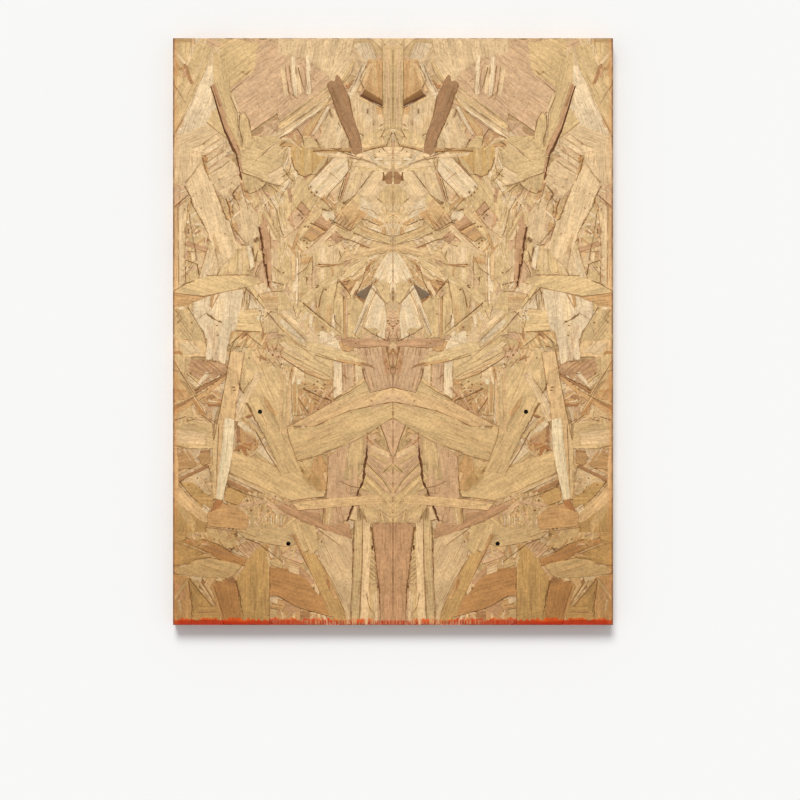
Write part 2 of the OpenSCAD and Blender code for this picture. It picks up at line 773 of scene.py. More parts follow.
        # Darkening along grooves and with depth below the face: partly resin, partly painted shade.
        share = np.repeat(self.resin_and_shade_share(xy, tri, on_edge.astype(float)), 3)
        resin_and_shade = edge[used][corner] * share
        depth = plane + (heights[used][corner] - plane) * share
        deep = np.clip(-depth / self.deepest, 0, 1)
        strength = np.where(seen != top, self.patch_strength, 0.0)[:, None]
        colour = linear([s.tone.value for s in layers]) * shade[:, None]
        face_tone = colour[top] * (1 - strength) + colour[seen] * strength
        return MatMesh(
            points=xy[used], heights=heights[used], triangles=corner.reshape(-1, 3),
            tone=np.repeat(face_tone, 3, axis=0),
            grain=np.stack([along * MM, across * MM, seed[owner]], axis=1),
            resin_and_shade=np.stack([resin_and_shade, deep, np.zeros_like(resin_and_shade)], axis=1),
            uv=self.unfold(xy[used][corner], np.repeat(xy[tri].mean(axis=1), 3, axis=0)),
        )

    @staticmethod
    def ripple(xy: np.ndarray) -> np.ndarray:
        """A smooth value from -1 to 1 that changes over a few centimetres: a product of sines."""
        x, y = xy[:, 0], xy[:, 1]
        return np.sin(x * 0.31 + 1.3 * np.sin(y * 0.11)) * np.sin(y * 0.27 + 1.7 * np.sin(x * 0.09))

    def unfold(self, xy: np.ndarray, centre: np.ndarray) -> np.ndarray:
        """Lays the face out in the unit square, in as many strips as it has folds.

        Args:
            xy: Each corner's place.
            centre: The middle of its triangle, which settles the strip.

        Returns:
            Each corner's place in the unit square.
        """
        long = self.long_axis
        strip_length = self.size[long] / self.folds
        strip = np.clip(np.floor(centre[:, long] / strip_length), 0, self.folds - 1)
        u = (xy[:, long] - strip * strip_length) / strip_length
        v = xy[:, 1 - long] / self.size[1 - long]
        return np.stack([0.004 + 0.992 * u, (strip + 0.01 + 0.98 * v) / self.folds], axis=1)


@dataclass(frozen=True)
class Placement:
    """Where a flat mat stands: its corner, its two directions and its outward normal."""

    corner: Triple
    across: Triple
    up: Triple
    out: Triple

    def place(self, mat: MatMesh) -> tuple[np.ndarray, bool]:
        """Puts a mat's points in the panel's frame.

        Args:
            mat: The finished mat.

        Returns:
            The points in metres, and whether the winding has to be turned.
        """
        axes = np.array([self.across, self.up, self.out], dtype=float)
        local = np.column_stack([mat.points, mat.heights])
        return (np.array(self.corner) + local @ axes) * MM, bool(np.linalg.det(axes) < 0)


def write_mesh(name: str, mat: MatMesh, placement: Placement) -> bpy.types.Object:
    """Writes a mat into a new object, with its corner values and its own UV map.

    Args:
        name: Name of the piece.
        mat: The finished mat.
        placement: Where it stands.

    Returns:
        The new object, at the origin.
    """
    points, turned = placement.place(mat)
    order = np.array([0, 2, 1] if turned else [0, 1, 2])
    loops = (np.arange(len(mat.triangles) * 3).reshape(-1, 3)[:, order]).ravel()
    corners = mat.triangles.ravel()[loops]
    mesh = bpy.data.meshes.new(name)
    mesh.vertices.add(len(points))
    mesh.vertices.foreach_set("co", points.astype(np.float32).ravel())
    mesh.loops.add(len(corners))
    mesh.loops.foreach_set("vertex_index", corners.astype(np.int32))
    mesh.polygons.add(len(mat.triangles))
    mesh.polygons.foreach_set("loop_start", np.arange(0, len(corners), 3, dtype=np.int32))
    mesh.update(calc_edges=True)
    mesh.shade_flat()
    opaque = np.column_stack([mat.tone, np.ones(len(mat.tone))])
    layers = (("tone", "FLOAT_COLOR", "color", opaque),
              ("grain", "FLOAT_VECTOR", "vector", mat.grain),
              ("resin_and_shade", "FLOAT_VECTOR", "vector", mat.resin_and_shade))
    for title, kind, slot, values in layers:
        layer = mesh.attributes.new(title, kind, "CORNER")
        layer.data.foreach_set(slot, values[loops].astype(np.float32).ravel())
    uv = mesh.uv_layers.new(name="OFBake")
    uv.data.foreach_set("uv", mat.uv[loops].astype(np.float32).ravel())
    piece = bpy.data.objects.new(name, mesh)
    bpy.context.scene.collection.objects.link(piece)
    return piece


@dataclass(frozen=True)
class Opening:
    """One kind of crack between strands.

    Attributes:
        wide: Width where it starts.
        end: Width where it runs out.
        tone: Colour in its depth, darker than the wood: partly resin, partly painted shade in the
            crack.
    """

    wide: float
    end: float
    tone: Tone


Written = str | list[Pair] | np.ndarray

# Dark colours inside cracks: partly resin, partly painted shade.
HAIR = Opening(0.7, 0.4, BROWN)
FINE = Opening(0.9, 0.4, UMBER)
SPLIT = Opening(1.3, 0.5, UMBER)
GAPE = Opening(1.8, 0.6, UMBER)


def places(written: Written) -> np.ndarray:
    """Reads places on a face, one to a row.

    Args:
        written: The places, as text such as "15,0 16,38" or as rows of numbers.

    Returns:
        Their two distances in millimetres, as rows of an array.
    """
    rows = [word.split(",") for word in written.split()] if isinstance(written, str) else written
    return np.array(rows, dtype=float)


@dataclass
class UpperMat:
    """The strands of half the upper face, laid one over the other.

    The face is the same on both sides of its middle line. Places are in millimetres: the
    first number runs from the middle line to a long edge, the second from the painted edge
    towards the far edge. A flake's first side runs along its grain.

    Attributes:
        shaper: Draws the outlines.
        strands: Strands and tints, in painter's order.
        upper: Those that lie over all of them.
        gaps: Cracks and pits, cut last.
    """

    shaper: StrandShaper
    strands: list[Strand] = field(default_factory=list)
    upper: list[Strand] = field(default_factory=list)
    gaps: list[Strand] = field(default_factory=list)

    def flake(self, tone: Tone, *outlines: str, over: bool = False) -> None:
        """Lays flakes of one colour.

        Args:
            tone: Their wood colour.
            outlines: The corners of each.
            over: Whether they lie over all other strands.
        """
        layer = self.upper if over else self.strands
        for outline in outlines:
            level = float(self.shaper.rng.uniform(-0.22, -0.02))
            layer.append(self.shaper.flake(tone, places(outline), level))

    def tint(self, tone: Tone, outline: str, over: bool = False) -> None:
        """Tints the wood inside some corners, without an edge of its own."""
        self.flake(tone, outline, over=over)
        (self.upper if over else self.strands)[-1].kind = Kind.PATCH

    def lath(self, tone: Tone, line: Written, wide: float, wide_end: float | None = None,
             over: bool = False) -> None:
        """Lays one narrow strand.

        Args:
            tone: Its wood colour.
            line: The middles of its two ends.
            wide: Its width at the first end.
            wide_end: Its width at the other, if that differs.
            over: Whether it lies over all other strands.
        """
        level = float(self.shaper.rng.uniform(-0.18, 0.0))
        widths = (wide, wide if wide_end is None else wide_end)
        layer = self.upper if over else self.strands
        layer.append(self.shaper.lath(tone, *places(line), widths, level))

    def stain(self, tone: Tone, line: Written, wide: float, wide_end: float | None = None,
              over: bool = False) -> None:
        """Tints a band of the wood between two places, without an edge of its own."""
        self.lath(tone, line, wide, wide_end, over)
        (self.upper if over else self.strands)[-1].kind = Kind.PATCH

    def crack(self, line: Written, wide: float = 1.0, end: float = 0.4, depth: float = 0.35,
              tone: Tone = UMBER) -> None:
        """Opens a crack along some places."""
        self.gaps.append(self.shaper.crack(places(line), (wide, end), depth, tone))

    def cracks(self, opening: Opening, *lines: str) -> None:
        """Opens cracks of one kind, each along its own places."""
        for line in lines:
            self.crack(line, opening.wide, opening.end, tone=opening.tone)

    def pits(self, centres: str, wide: float = 1.6, high: float = 2.2, tone: Tone = UMBER) -> None:
        """Opens small torn pits, each a rough ring of seven corners.

        Args:
            centres: Their middles.
            wide: Their width.
            high: Their height.
            tone: Colour in their depth, darker than the wood: partly resin, partly painted shade in
                the pit.
        """
        rng = self.shaper.rng
        for u, v in places(centres):
            turn = 2 * math.pi * (np.arange(7) + rng.uniform(-0.3, 0.3, 7)) / 7
            reach = rng.uniform(0.7, 1.2, 7)
            outline = np.stack([u + np.cos(turn) * reach * wide / 2,
                                v + np.sin(turn) * reach * high / 2], axis=1)
            self.gaps.append(Strand(outline, tone, 0.0, -0.4, Kind.GAP))

    def fan(self, tone: Tone, ends: str, wide: float) -> None:
        """Lays a fan of tapering spikes.

        Args:
            tone: Their wood colour.
            ends: Their shared root, and then the tip of each.
            wide: Their width at the root.
        """
        root, *tips = places(ends)
        for tip in tips:
            self.lath(tone, [root, tip], wide, 0.8)

    def fines(self, area: str, count: int, tones: tuple[Tone, ...], lean: float = 90.0,
              spread: float = 40.0, lengths: Pair = (5.0, 16.0), widths: Pair = (0.9, 2.6)) -> None:
        """Strews slivers over a rectangle.

        Args:
            area: Its lowest and its highest corner.
            count: How many slivers.
            tones: Their wood colours.
            lean: Mean direction, in degrees.
            spread: How far directions stray from it.
            lengths: Shortest and longest.
            widths: Narrowest and widest.
        """
        rng = self.shaper.rng
        low, high = places(area)
        for _ in range(count):
            turn = math.radians(rng.normal(lean, spread))
            half = rng.uniform(*lengths) / 2 * np.array([math.cos(turn), math.sin(turn)])
            middle = rng.uniform(low, high)
            wide = rng.uniform(*widths)
            self.lath(tones[rng.integers(len(tones))], [middle - half, middle + half], wide,
                      wide * rng.uniform(0.3, 1.0))

    def hatch(self, line: str, step: Pair, count: int, tone: Tone = BROWN,
              wide: float = 0.6) -> None:
        """Cuts a row of short parallel lines, each one step from the last."""
        for k in range(count):
            self.crack(places(line) + np.array(step) * k, wide, 0.35, 0.2, tone)

    def lay(self) -> list[Strand]:
        """Lays every listed strand of the half face, from the bottom of the mat up.

        Returns:
            The strands in painter's order.
        """
        self.lower_side()
        self.lower_middle()
        self.side_planks()
        self.herringbone()
        self.belt_side()
        self.belt_middle()
        self.crossing_side()
        self.crown_middle()
        self.fan_middle()
        self.fan_side()
        self.head_middle()
        return self.strands + self.upper + self.gaps

    def lower_middle(self) -> None:
        """Upright planks beside the middle line and the slanting planks next to them."""
        self.flake(TAN, "15,0 16,38 22,44 26,30 24,0")
        self.flake(STRAW, "17,42 20,80 22,104 26,104 25,60 25,42")
        self.flake(PALE, "15,0 16,36 21,30 19,0", "25,0 24,60 23,108 31,108 31,60 34,0")
        self.flake(STRAW, "34,0 32,60 31,108 39,108 40,60 43,0")
        self.flake(SAND, "50,15 75,66 78,84 70,94 56,96 41,92 42,40 43,0 47,0")
        self.flake(PALE, "79,99 54,82 50,86 62,95")
        self.flake(BUFF, "84,14 118,27 118,0 72,0 72,8")
        self.fines("72,2 118,22", 22, (PINK, TAN, BUFF, ROSE, HONEY, PALE), 30, 55, (6, 18), (2, 5))
        self.flake(BROWN, "85,14 95,14 95,5 85,5")
        self.flake(ROSE, "96,22 112,25 110,14 98,12")
        self.flake(ORANGE, "62,8 84,14 100,20 118,29 126,30 126,59 98,57 86,46 80,38 70,28")
        self.flake(PINK, "92,62 114,70 108,77 98,79 90,70")
        self.fines("94,60 116,76", 9, (PALE, PINK, TAN, CREAM), 35, 30, (6, 14), (1.5, 3.5))
        self.flake(HONEY, "112,73 118,80 104,79")
        self.flake(PALE, "94,58 107,61 106,54 96,51")
        self.flake(ROSE, "95,60 81,46 82,38 88,46 96,52")
        self.lath(PALE, "81,42 75,32", 6, 4)
        self.pits("81,37", wide=1.8, high=4.5)
        self.flake(OCHRE, "62,3 80,45 93,72 84,77 77,70 62,42 50,14 47,3")
        self.flake(STRAW, "92,73 101,92 103,104 88,104 84,78")
        self.flake(TAN, "84,72 95,96 106,103 80,104 77,90 76,76")
        self.lath(BUFF, "101,91 92,72", 4.5, 3)
        self.lath(BUFF, "70,52 58,26", 3, 4)
        # A thin pale lath beside the crack: painted highlight on its edge.
        self.lath(PALE, "77,70 60,43", 1.4, 0.8, over=True)
        self.flake(RUST, "64,37 66,48 68,45 66,37")
        self.flake(ROSE, "13,0 14,38 16,50 18,70 21,104 0,104 0,0", over=True)
        self.hatch("24,50 18.5,45", (-0.25, 4.0), 9, UMBER)
        self.pits("21,79", wide=2.4, high=5, tone=BARK)
        self.pits("15.5,39", wide=2, high=4, tone=BARK)
        self.pits("41,86 40,76 73,85", wide=1.5, high=3)
        self.cracks(HAIR, "102,91 93,73 80,45 70,24 60,5", "31,104 32,60 35,4", "75,66 62,44 52,24")
        self.cracks(FINE, "96,77 90,65 81,47", "118,30 100,19 85,14 62,8",
                    "40,104 41,60 43,20 44,2", "27,32 25,20 19,9", "77,98 66,90 54,81")
        self.cracks(GAPE, "22,100 18,70 16,50 14,38 13,6")

    def lower_side(self) -> None:
        """Dark and honey planks between the slanting planks and the long edge."""
        self.flake(BUFF, "206,0 206,48 226,52 226,0")
        self.flake(ROSE, "212,26 214,40 226,44 226,26")
        self.flake(BUFF, "216,0 216,24 206,26 206,0")
        self.lath(TAN, "224,26 209,47", 3.5, 2)
        self.lath(CREAM, "219,26 217,14", 1.4)
        self.flake(OCHRE, "184,19 208,47 204,14")
        self.lath(BROWN, "198,45 186,30", 9, 4)
        self.flake(PALE, "183,19 201,46 199,47 180,20")
        self.flake(BUFF, "180,19 197,44 194,44 178,19")
        self.flake(PALE, "178,19 193,42 191,43 176,20")
        self.flake(OCHRE, "177,4 205,4 205,18 178,19")
        self.stain(BUFF, "204,12 180,14", 4)
        self.flake(BUFF, "175,5 187,40 180,44 176,30 173,5")
        self.flake(OCHRE, "126,0 126,82 150,82 150,62 158,50 160,46 155,0")
        self.flake(ORANGE, "154,0 160,45 178,46 184,41 178,20 173,0")
        self.flake(BROWN, "170,47 162,49 160,42 168,44")
        self.lath(PALE, "181,46 174,45", 2.4)
        self.flake(OCHRE, "205,68 188,75 214,85 227,90 227,62")
        self.flake(ORANGE, "150,67 163,72 180,82 195,88 213,87 213,84 190,74 175,65 160,61 151,60")
        self.stain(BROWN, "200,85 168,71", 3, 5)
        # A thin pale lath along the orange flake's lower edge: painted highlight.
        self.lath(PALE, "214,83 186,72", 1.2, 0.7)
        self.flake(OCHRE, "185,70 205,71 227,65 227,60 210,62 195,66")
        self.flake(TAN, "155,61 165,64 176,66 188,68 200,67 210,61 227,56 222,52 205,50 190,48 "
                   "170,48 161,52")
        self.flake(OCHRE, "205,95 228,97 228,82 214,86")
        self.flake(TAN, "157,78 165,98 205,100 212,88 190,87 172,78")
        self.fines("160,79 212,99", 34, (TAN, BUFF, PINK, PALE, OCHRE), 75, 50, (4, 12), (1.6, 4))
        self.flake(PINK, "148,68 160,79 144,87 134,82")
        self.hatch("157,84 149,74", (-3.2, 1.2), 4)
        self.flake(STRAW, "150,88 108,79 97,84 100,96 125,102 155,106 158,94")
        self.flake(PALE, "127,64 128,82 121,82 122,66")
        self.fines("112,62 128,80", 10, (PALE, BUFF, ROSE, CREAM), 80, 25, (8, 16), (1.4, 3))
        self.flake(TAN, "112,56 126,62 124,66 114,68")
        self.pits("165,77 163,79 160,92 197,91 183,88 178,82", wide=2.2, high=1.8)
        self.pits("165,47 171,47 157,34", tone=BROWN, wide=2)
        self.cracks(HAIR, "126,60 126,34 127,10", "222,84 205,78 192,73",
                    "177,67 188,69 205,66 224,58")
        self.cracks(FINE, "195,43 181,20", "183,39 177,22 173,8", "196,88 180,83 162,73 148,68")
        self.cracks(SPLIT, "209,45 207,28 204,13", "208,47 197,33 184,19",
                    "150,88 137,83 128,76 113,65")
        self.cracks(GAPE, "161,45 158,34 156,28 156,20 153,9")

    def herringbone(self) -> None:
        """The laths that meet in arrowheads on the middle line, and the planks around them."""
        self.flake(TAN, "30,168 0,140 0,103 26,104 34,120")
        self.flake(PINK, "28,196 0,170 0,138 30,168")
        self.flake(TAN, "166,154 128,135 104,127 70,131 68,140 84,146 97,160 112,165 128,165 "
                   "146,172 165,177", "113,154 150,228 157,246 154,280 140,288 128,280 112,258 "
                   "108,200 100,180 97,168 92,158")
        self.flake(HONEY, "125,268 133,284 145,280 143,266")
        self.tint(ORANGE, "117,216 133,235 130,222 121,212")
        self.flake(STRAW, "138,234 150,262 152,250 150,230")
        self.flake(PINK, "67,104 68,130 66,172 50,184 36,190 36,131 47,106 60,103")
        self.flake(STRAW, "50,148 48,172 42,186 30,192 30,160 36,150")
        self.stain(PINK, "41,160 36,142", 7, 5)
        self.lath(PALE, "48,184 45,160", 3, 2)
        self.flake(TAN, "98,166 92,158 84,140 76,136 78,150 76,172")
        self.flake(BUFF, "66,160 67,138 78,137 84,150 81,170 74,176")
        self.tint(OCHRE, "96,162 90,146 74,137 70,142 84,162")
        self.lath(HONEY, "70,156 67,140", 3.5, 1)
        self.flake(ROSE,
                   "112,124 98,117 75,114 72,104 60,102 45,104 42,88 66,96 80,101 95,107 118,119")
        self.flake(TAN, "68,122 72,104 64,102 61,119")
        self.lath(PALE, "64,121 66,103", 2)
        self.lath(BUFF, "69,121 70,105", 1.6)
        self.hatch("58,120 55,106", (-4.0, 0.5), 2, BROWN)
        self.flake(PALE, "36,106 36,121 40,121 45,107")
        for k, line in enumerate(("27,158 0,132", "27,150 0,122", "28,143 0,113", "30,136 5,108",
                                  "32,130 12,108", "33,124 20,106")):
            self.lath((PINK, TAN, STRAW)[k % 3], line, 4 if k == 0 else 5)
        self.fines("2,108 24,122", 12, (PALE, STRAW, TAN), 58, 14, (8, 18), (1.2, 3))
        self.lath(PALE, "26,183 2,172", 6)
        self.lath(PINK, "22,176 4,158", 8, 5)
        self.lath(TAN, "24,176 4,165", 4)
        self.lath(PALE, "25,164 3,140", 1.4, 0.8)
        self.lath(RUST, "27,192 20,184", 2.5, 1)
        self.flake(STRAW, "12,158 1,166 0,158 9,155")
        self.flake(PINK, "26,194 17,195 16,190 24,188")
        self.flake(HONEY,
                   "104,126 90,128 68,129 40,131 20,133 10,130 12,124 38,122 60,120 80,118 98,117")
        self.lath(TAN, "96,123 70,121", 2.5, 1)
        self.flake(TAN, "97,166 50,183 28,194 12,204 0,212 0,228 45,219 80,203 108,200 104,185",
                   over=True)
        self.flake(HONEY, "105,203 62,228 57,229 27,236 0,243 0,228 45,219 80,203", over=True)
        self.flake(PINK, "3,176 12,204 0,210 0,171", over=True)
        self.stain(ROSE, "88,216 62,230", 3.5, 3, over=True)
        self.stain(PINK, "24,222 2,232", 7, 8, over=True)
        self.stain(HONEY, "92,192 40,209", 6, 5, over=True)
        self.crack("28.2,167 27,174 26.6,184", wide=3.0, end=0.8, depth=0.9, tone=BARK)
        self.crack("28.2,168 30,150 33,141 37,132", wide=3.0, end=1.6, depth=0.9, tone=BARK)
        self.crack("41,122 44,114 47,106", wide=2.6, end=2.0, depth=0.9, tone=BARK)
        self.pits("22,229 43,217 55,222 30,164", wide=1.6, high=1.4)
        self.pits("26,196", wide=2.5, high=1.5, tone=RUST)
        self.cracks(HAIR, "110,202 86,214 62,228", "98,168 80,172 66,178 50,184",
                    "80,203 60,213 40,220 4,228", "26,153 8,136", "48,141 46,134", "66,172 67,156",
                    "31,119 27,105", "107,126 90,127 70,129")
        self.cracks(FINE, "108,201 107,192 104,184 98,168", "27,165 12,150 2,136", "10,156 2,163",
                    "54,147 44,142 33,140 25,136", "67,152 68,140 68,130", "71,119 72,103",
                    "35,122 33,108", "26,194 26,184")
        self.cracks(SPLIT, "13,204 8,192 3,176", "140,197 128,175 115,155")

    def side_planks(self) -> None:
        """Long honey planks along the long edge, and the torn pieces below the hole."""
        self.flake(OCHRE, "190,95 190,125 226,135 226,95")
        self.stain(TAN, "222,128 202,98", 9, 7)
        self.flake(PALE, "196,158 214,149 214,143 195,130 186,133 187,156")
        self.fines("188,132 214,158", 16, (PALE, STRAW, CREAM, TAN), 30, 45, (5, 13), (1.5, 3.5))
        self.flake(OCHRE, "218,146 205,146 195,138 184,128 184,120 190,120 205,130")
        self.flake(CREAM, "194,124 187,119 190,113 196,118")
        self.flake(HONEY, "226,150 220,143 205,128 190,113 188,104 196,106 214,120 226,130")
        self.lath(PALE, "222,148 194,116", 1.4)
        self.lath(BROWN, "219,148 189,163", 4, 3)
        self.flake(BUFF, "222,175 210,178 200,165 205,160 222,158",
                   "200,170 196,178 187,178 187,165 195,163")
        self.lath(BROWN, "198,177 187,178", 2.2)
        self.lath(CREAM, "214,181 207,168", 2.2, 1)
        self.lath(BUFF, "220,182 209,172", 2)
        self.flake(HONEY, "219,140 221,200 226,205 226,138")
        self.flake(TAN, "112,128 166,154 165,177 146,172 128,165 112,153")
        self.flake(OCHRE, "170,150 169,143 160,140 140,127 133,130 150,140")
        self.lath(BROWN, "168,146 134,130", 4.5, 2)
        self.lath(PALE, "168,153 113,127", 3.4, 3.8)
        self.flake(TAN, "128,100 128,135 160,135 160,100")
        self.fan(TAN, "132,104 146,118 141,121 136,124 130,125", 6)
        self.fines("114,102 158,134", 40, (TAN, PINK, PALE, BUFF, CREAM, HONEY), 100, 38, (5, 15),
                   (1.2, 3.2))
        self.lath(PINK, "160,122 128,126", 4.5, 3)
        self.lath(PINK, "128,124 112,112", 4, 5)
        self.lath(PALE, "124,119 112,109", 3, 4)
        for k in range(5):
            self.lath((CREAM, TAN)[k % 2], [(124 - 2.5 * k, 112), (124.5 - 2.5 * k, 102)], 2)
        self.hatch("154,135 151,127", (-3.0, -0.6), 4, BROWN, 0.9)
        self.flake(OCHRE, "158,122 173,127 171,141 160,140 150,132")
        self.flake(RUST, "163,178 150,186 141,193 145,186 150,173 155,180")
        self.flake(BUFF, "142,175 150,186 142,194 136,190")
        self.flake(RUST, "164,177 148,185 141,195 146,194 154,186",
                   "155,179 150,173 143,187 148,190")
        self.fines("128,176 150,192", 9, (TAN, ROSE, PALE), 55, 20, (6, 12), (1.2, 2.5))
        self.flake(CREAM, "118,156 140,177 136,184 131,183 117,163")
        self.lath(TAN, "143,178 122,161", 4)
        self.lath(PALE, "146,172 136,182", 2)
        self.flake(BUFF, "150,97 170,99 190,101 190,112 185,117 176,124 160,122 146,110")
        self.flake(HONEY, "184,129 186,160 182,195 173,240 166,280 152,278 157,245 162,210 162,190 "
                   "168,155 174,127", over=True)
        self.flake(MILK, "181,129 178,160 174,190 172,212 162,210 162,190 168,155 174,128",
                   over=True)
        self.flake(STRAW, "184,131 186,160 182,205 178,205 180,160 181,131", over=True)
        self.stain(PALE, "183,134 180,196", 1.2, over=True)
        self.stain(HONEY, "155,276 161,226", 2.2, 1.6, over=True)
        self.flake(RUST, "187,116 181,128 174,128 176,120 182,117", over=True)
        self.pits("168,141 149,127 145,117 158,178", wide=2.8, high=2.0)
        self.pits("218,158 209,143 195,136 200,150 198,141 141,184 208,160", wide=1.6, high=1.5)
        self.cracks(HAIR, "178,205 180,160 181,138", "166,155 140,143 113,131",
                    "192,100 176,98 150,94 140,90", "218,146 206,131 190,119")
        self.cracks(FINE, "173,240 180,205 183,190", "170,256 173,240", "226,184 212,181")
        self.cracks(SPLIT, "189,163 187,156", "170,145 166,141 152,134 133,129")

    def belt_middle(self) -> None:
        """Striped planks and fines above the crossing arms, near the middle line."""
        self.flake(BUFF, "58,214 62,262 104,264 98,214")
        self.flake(PINK, "2,262 8,284 37,283 33,268 28,250 23,237 8,241 0,243 0,255")
        self.flake(ROSE, "9,258 12,284 4,286 0,276 0,255")
        self.fines("0,255 8,290", 14, (RUST, BROWN, ROSE, TAN), 100, 25, (4, 12), (1, 2.4))
        self.flake(CREAM, "61,232 61,292 52,290 52,236")
        self.flake(PINK, "51,238 52,268 40,267 40,244")
        self.lath(ROSE, "50,266 48,246", 2, 1.4)
        self.flake(PALE, "39,247 39,266 31,264 31,252")
        self.flake(STRAW, "28,249 60,231 57,227 40,229 23,237")
        self.lath(STRAW, "56,232 27,247", 2)
        self.lath(HONEY, "52,229 26,239", 1.6)
        self.flake(HONEY, "116,195 116,262 105,262 105,196")
        self.lath(TAN, "111,200 110,258", 3, 4)
        self.flake(TAN, "98,213 96,250 101,254 104,248 103,214")
        self.lath(BUFF, "101,246 100,218", 3, 2)
        self.fines("96,250 115,272", 12, (CREAM, PALE, TAN, STRAW), 92, 10, (8, 16), (1.4, 3))
        self.flake(MILK, "98.5,246 98.5,251 94,251 94,246", over=True)
        self.flake(PALE, "98,248 89,249 91,262 102,264")
        self.flake(TAN, "90,248 72,242 68,262 90,262")
        self.flake(BUFF, "90,258 66,249 70,256 90,264")
        self.fines("66,217 92,248", 16, (BROWN, BUFF, ROSE, TAN), 60, 40, (5, 12), (1, 2.6))
        self.flake(STRAW, "113,276 70,251 61,251 62,270 88,283 110,290")
        self.lath(TAN, "110,282 66,262", 3, 2)
        self.lath(HONEY, "112,275 76,255", 2.5, 2)
        self.lath(PALE, "114,273 68,252", 1.8, 1.2)
        self.lath(BUFF, "105,270 70,254", 1.2, 1.0)
        self.flake(CREAM, "76,300 62,299 54,286 60,282 72,286")
        self.flake(PALE, "116,302 84,280 74,283 66,290 84,300 110,318")
        self.flake(STRAW, "90,281 70,275 58,270 40,267 24,265 36,277 50,280 62,284 86,290")
        self.flake(PALE, "112,290 88,272 92,271 118,288")
        # A buff lath and a brown sliver along the lower edge of the straw flake: painted shadow.
        self.lath(BUFF, "58,271 30,266", 3, 3)
        self.flake(BROWN, "34,267 18,262 22,266 32,269")
        self.flake(BUFF, "56,290 52,280 40,280 42,290")
        self.flake(ROSE, "22,284 36,283 50,286 54,294 45,292 10,291 3,292 5,285")
        self.fines("62,216 96,246", 54, (TAN, PALE, ROSE, PINK, BUFF, BROWN, CREAM), 70, 50,
                   (4, 13), (0.9, 2.6))
        self.fan(BUFF, "84,218 88,232 83,233 79,230", 3)
        self.lath(PINK, "68,240 78,222", 2.6, 2)
        self.lath(BUFF, "90,240 72,222", 2.4)
        self.pits("29,252", wide=2, high=4, tone=BROWN)
        self.crack("70,232 63,229", wide=2.2, end=1.4)
        self.hatch("33,282 24,240", (-4.2, 0.6), 6, ROSE, 0.5)
        self.pits("81,246 77,249 90,246 73,242 79,239 70,246", wide=2.2, high=1.8)
        self.pits("1,263", wide=2, high=4)
        self.pits("39,250 39,246", tone=RUST, wide=1.6)
        self.cracks(HAIR, "104,262 104,240 103,214", "112,279 92,268 64,254",
                    "100,290 86,278 74,268")
        self.cracks(FINE, "61,230 45,238 29,249", "84,238 74,233", "80,276 70,273 62,271 50,268")
        self.cracks(SPLIT, "51,256 46,251", "31,262 29,252 23,237", "97,232 91,223 86,216",
                    "114,274 104,267 88,257 70,250", "82,232 75,228", "6,284 4,270 2,258")
        self.cracks(GAPE, "92,242 80,236 66,230")

    def belt_side(self) -> None:
        """Broad leaves and shadowed laths between the crossing arms and the long edge."""
        self.flake(STRAW, "184,206 226,214 226,180 184,180")
        self.flake(PALE, "222,200 190,196 192,184 222,186")
        self.lath(TAN, "222,209 190,202", 5)
        self.flake(HONEY, "182,208 226,228 226,212 196,212")
        self.fines("186,208 224,232", 20, (TAN, PALE, HONEY, BUFF, STRAW), 75, 45, (6, 16), (2, 5))
        self.flake(BUFF, "207,235 226,262 226,228 203,232")
        self.stain(TAN, "222,246 208,238", 6, 3)
        self.stain(ORANGE, "226,240 210,239", 4, 2)
        self.flake(TAN, "190,285 194,300 207,320 226,325 226,282")
        self.fines("198,286 224,320", 8, (TAN, HONEY, STRAW), 120, 14, (14, 30), (2, 5))
        self.flake(HONEY, "190,274 192,290 226,292 226,274")
        self.flake(PALE, "194,279 206,290 220,289 212,276")
        self.flake(ORANGE, "226,266 226,280 215,280 215,268")
        self.lath(TAN, "214.5,280 213,262", 3.5)
        self.flake(TAN, "213,256 212,274 226,278 226,262")
        self.flake(ROSE, "209,258 196,249 180,254 169,257 170,266 190,270 207,271")
        self.fines("172,252 204,268", 14, (ROSE, PINK, BUFF, ROSE), 38, 6, (8, 18), (1.2, 2.6))
        self.flake(CREAM, "191,259 204,242 198,244 186,257")
        self.flake(PALE, "199,247 209,257 211,250 203,243")
        self.flake(BUFF, "176,226 178,250 190,244 196,226")
        self.fines("174,226 196,246", 16, (PALE, TAN, CREAM, ROSE), 32, 22, (6, 13), (1.2, 2.6))
        for k in range(4):
            line = [(188 - 2 * k, 238 + 3 * k), (176 - k, 231 + 5.5 * k)]
            self.lath((PALE, PINK)[k % 2], line, 2.6, 1.6)
        self.flake(RUST, "226,214 205,227 205,232 226,224")
        self.flake(BUFF, "226,218 205,231 190,241 170,257 169,253 188,237 203,226 226,212")
        self.lath(BROWN, "203,237 171,256", 2.4, 3)
        self.lath(TAN, "226,222 190,240", 1.8, 1.2)
        self.flake(HONEY, "195,216 226,274 222,272 197,226 191,214")
        self.lath(ORANGE, "204,230 193,214", 2.6, 3)
        self.flake(BROWN, "181,232 184,236 190,235 191,231 186,230")
        self.flake(CREAM, "190,230 186,227 187,231")
        self.lath(CREAM, "189,229 180,228", 1.4)
        self.lath(RUST, "190,225 177,225", 2.2)
        self.flake(TAN, "150,227 142,214 156,211 160,214")
        self.flake(BUFF, "160,210 158,186 146,186 150,212")
        self.flake(BROWN, "160,208 157,208 156,188 160,186")
        self.lath(CREAM, "158,208 138,190", 6, 7)
        self.flake(ROSE, "150,198 145,196 140,186 150,186")
        self.lath(RUST, "151,212 142,215", 2.4)
        self.lath(TAN, "152,212 134,192", 3, 4)
        self.flake(PALE, "163,209 140,260 132,257 148,230 156,208")
        self.fines("112,262 136,286", 22, (BROWN, BUFF, CREAM, TAN, RUST), 60, 45, (5, 12),
                   (0.9, 2))
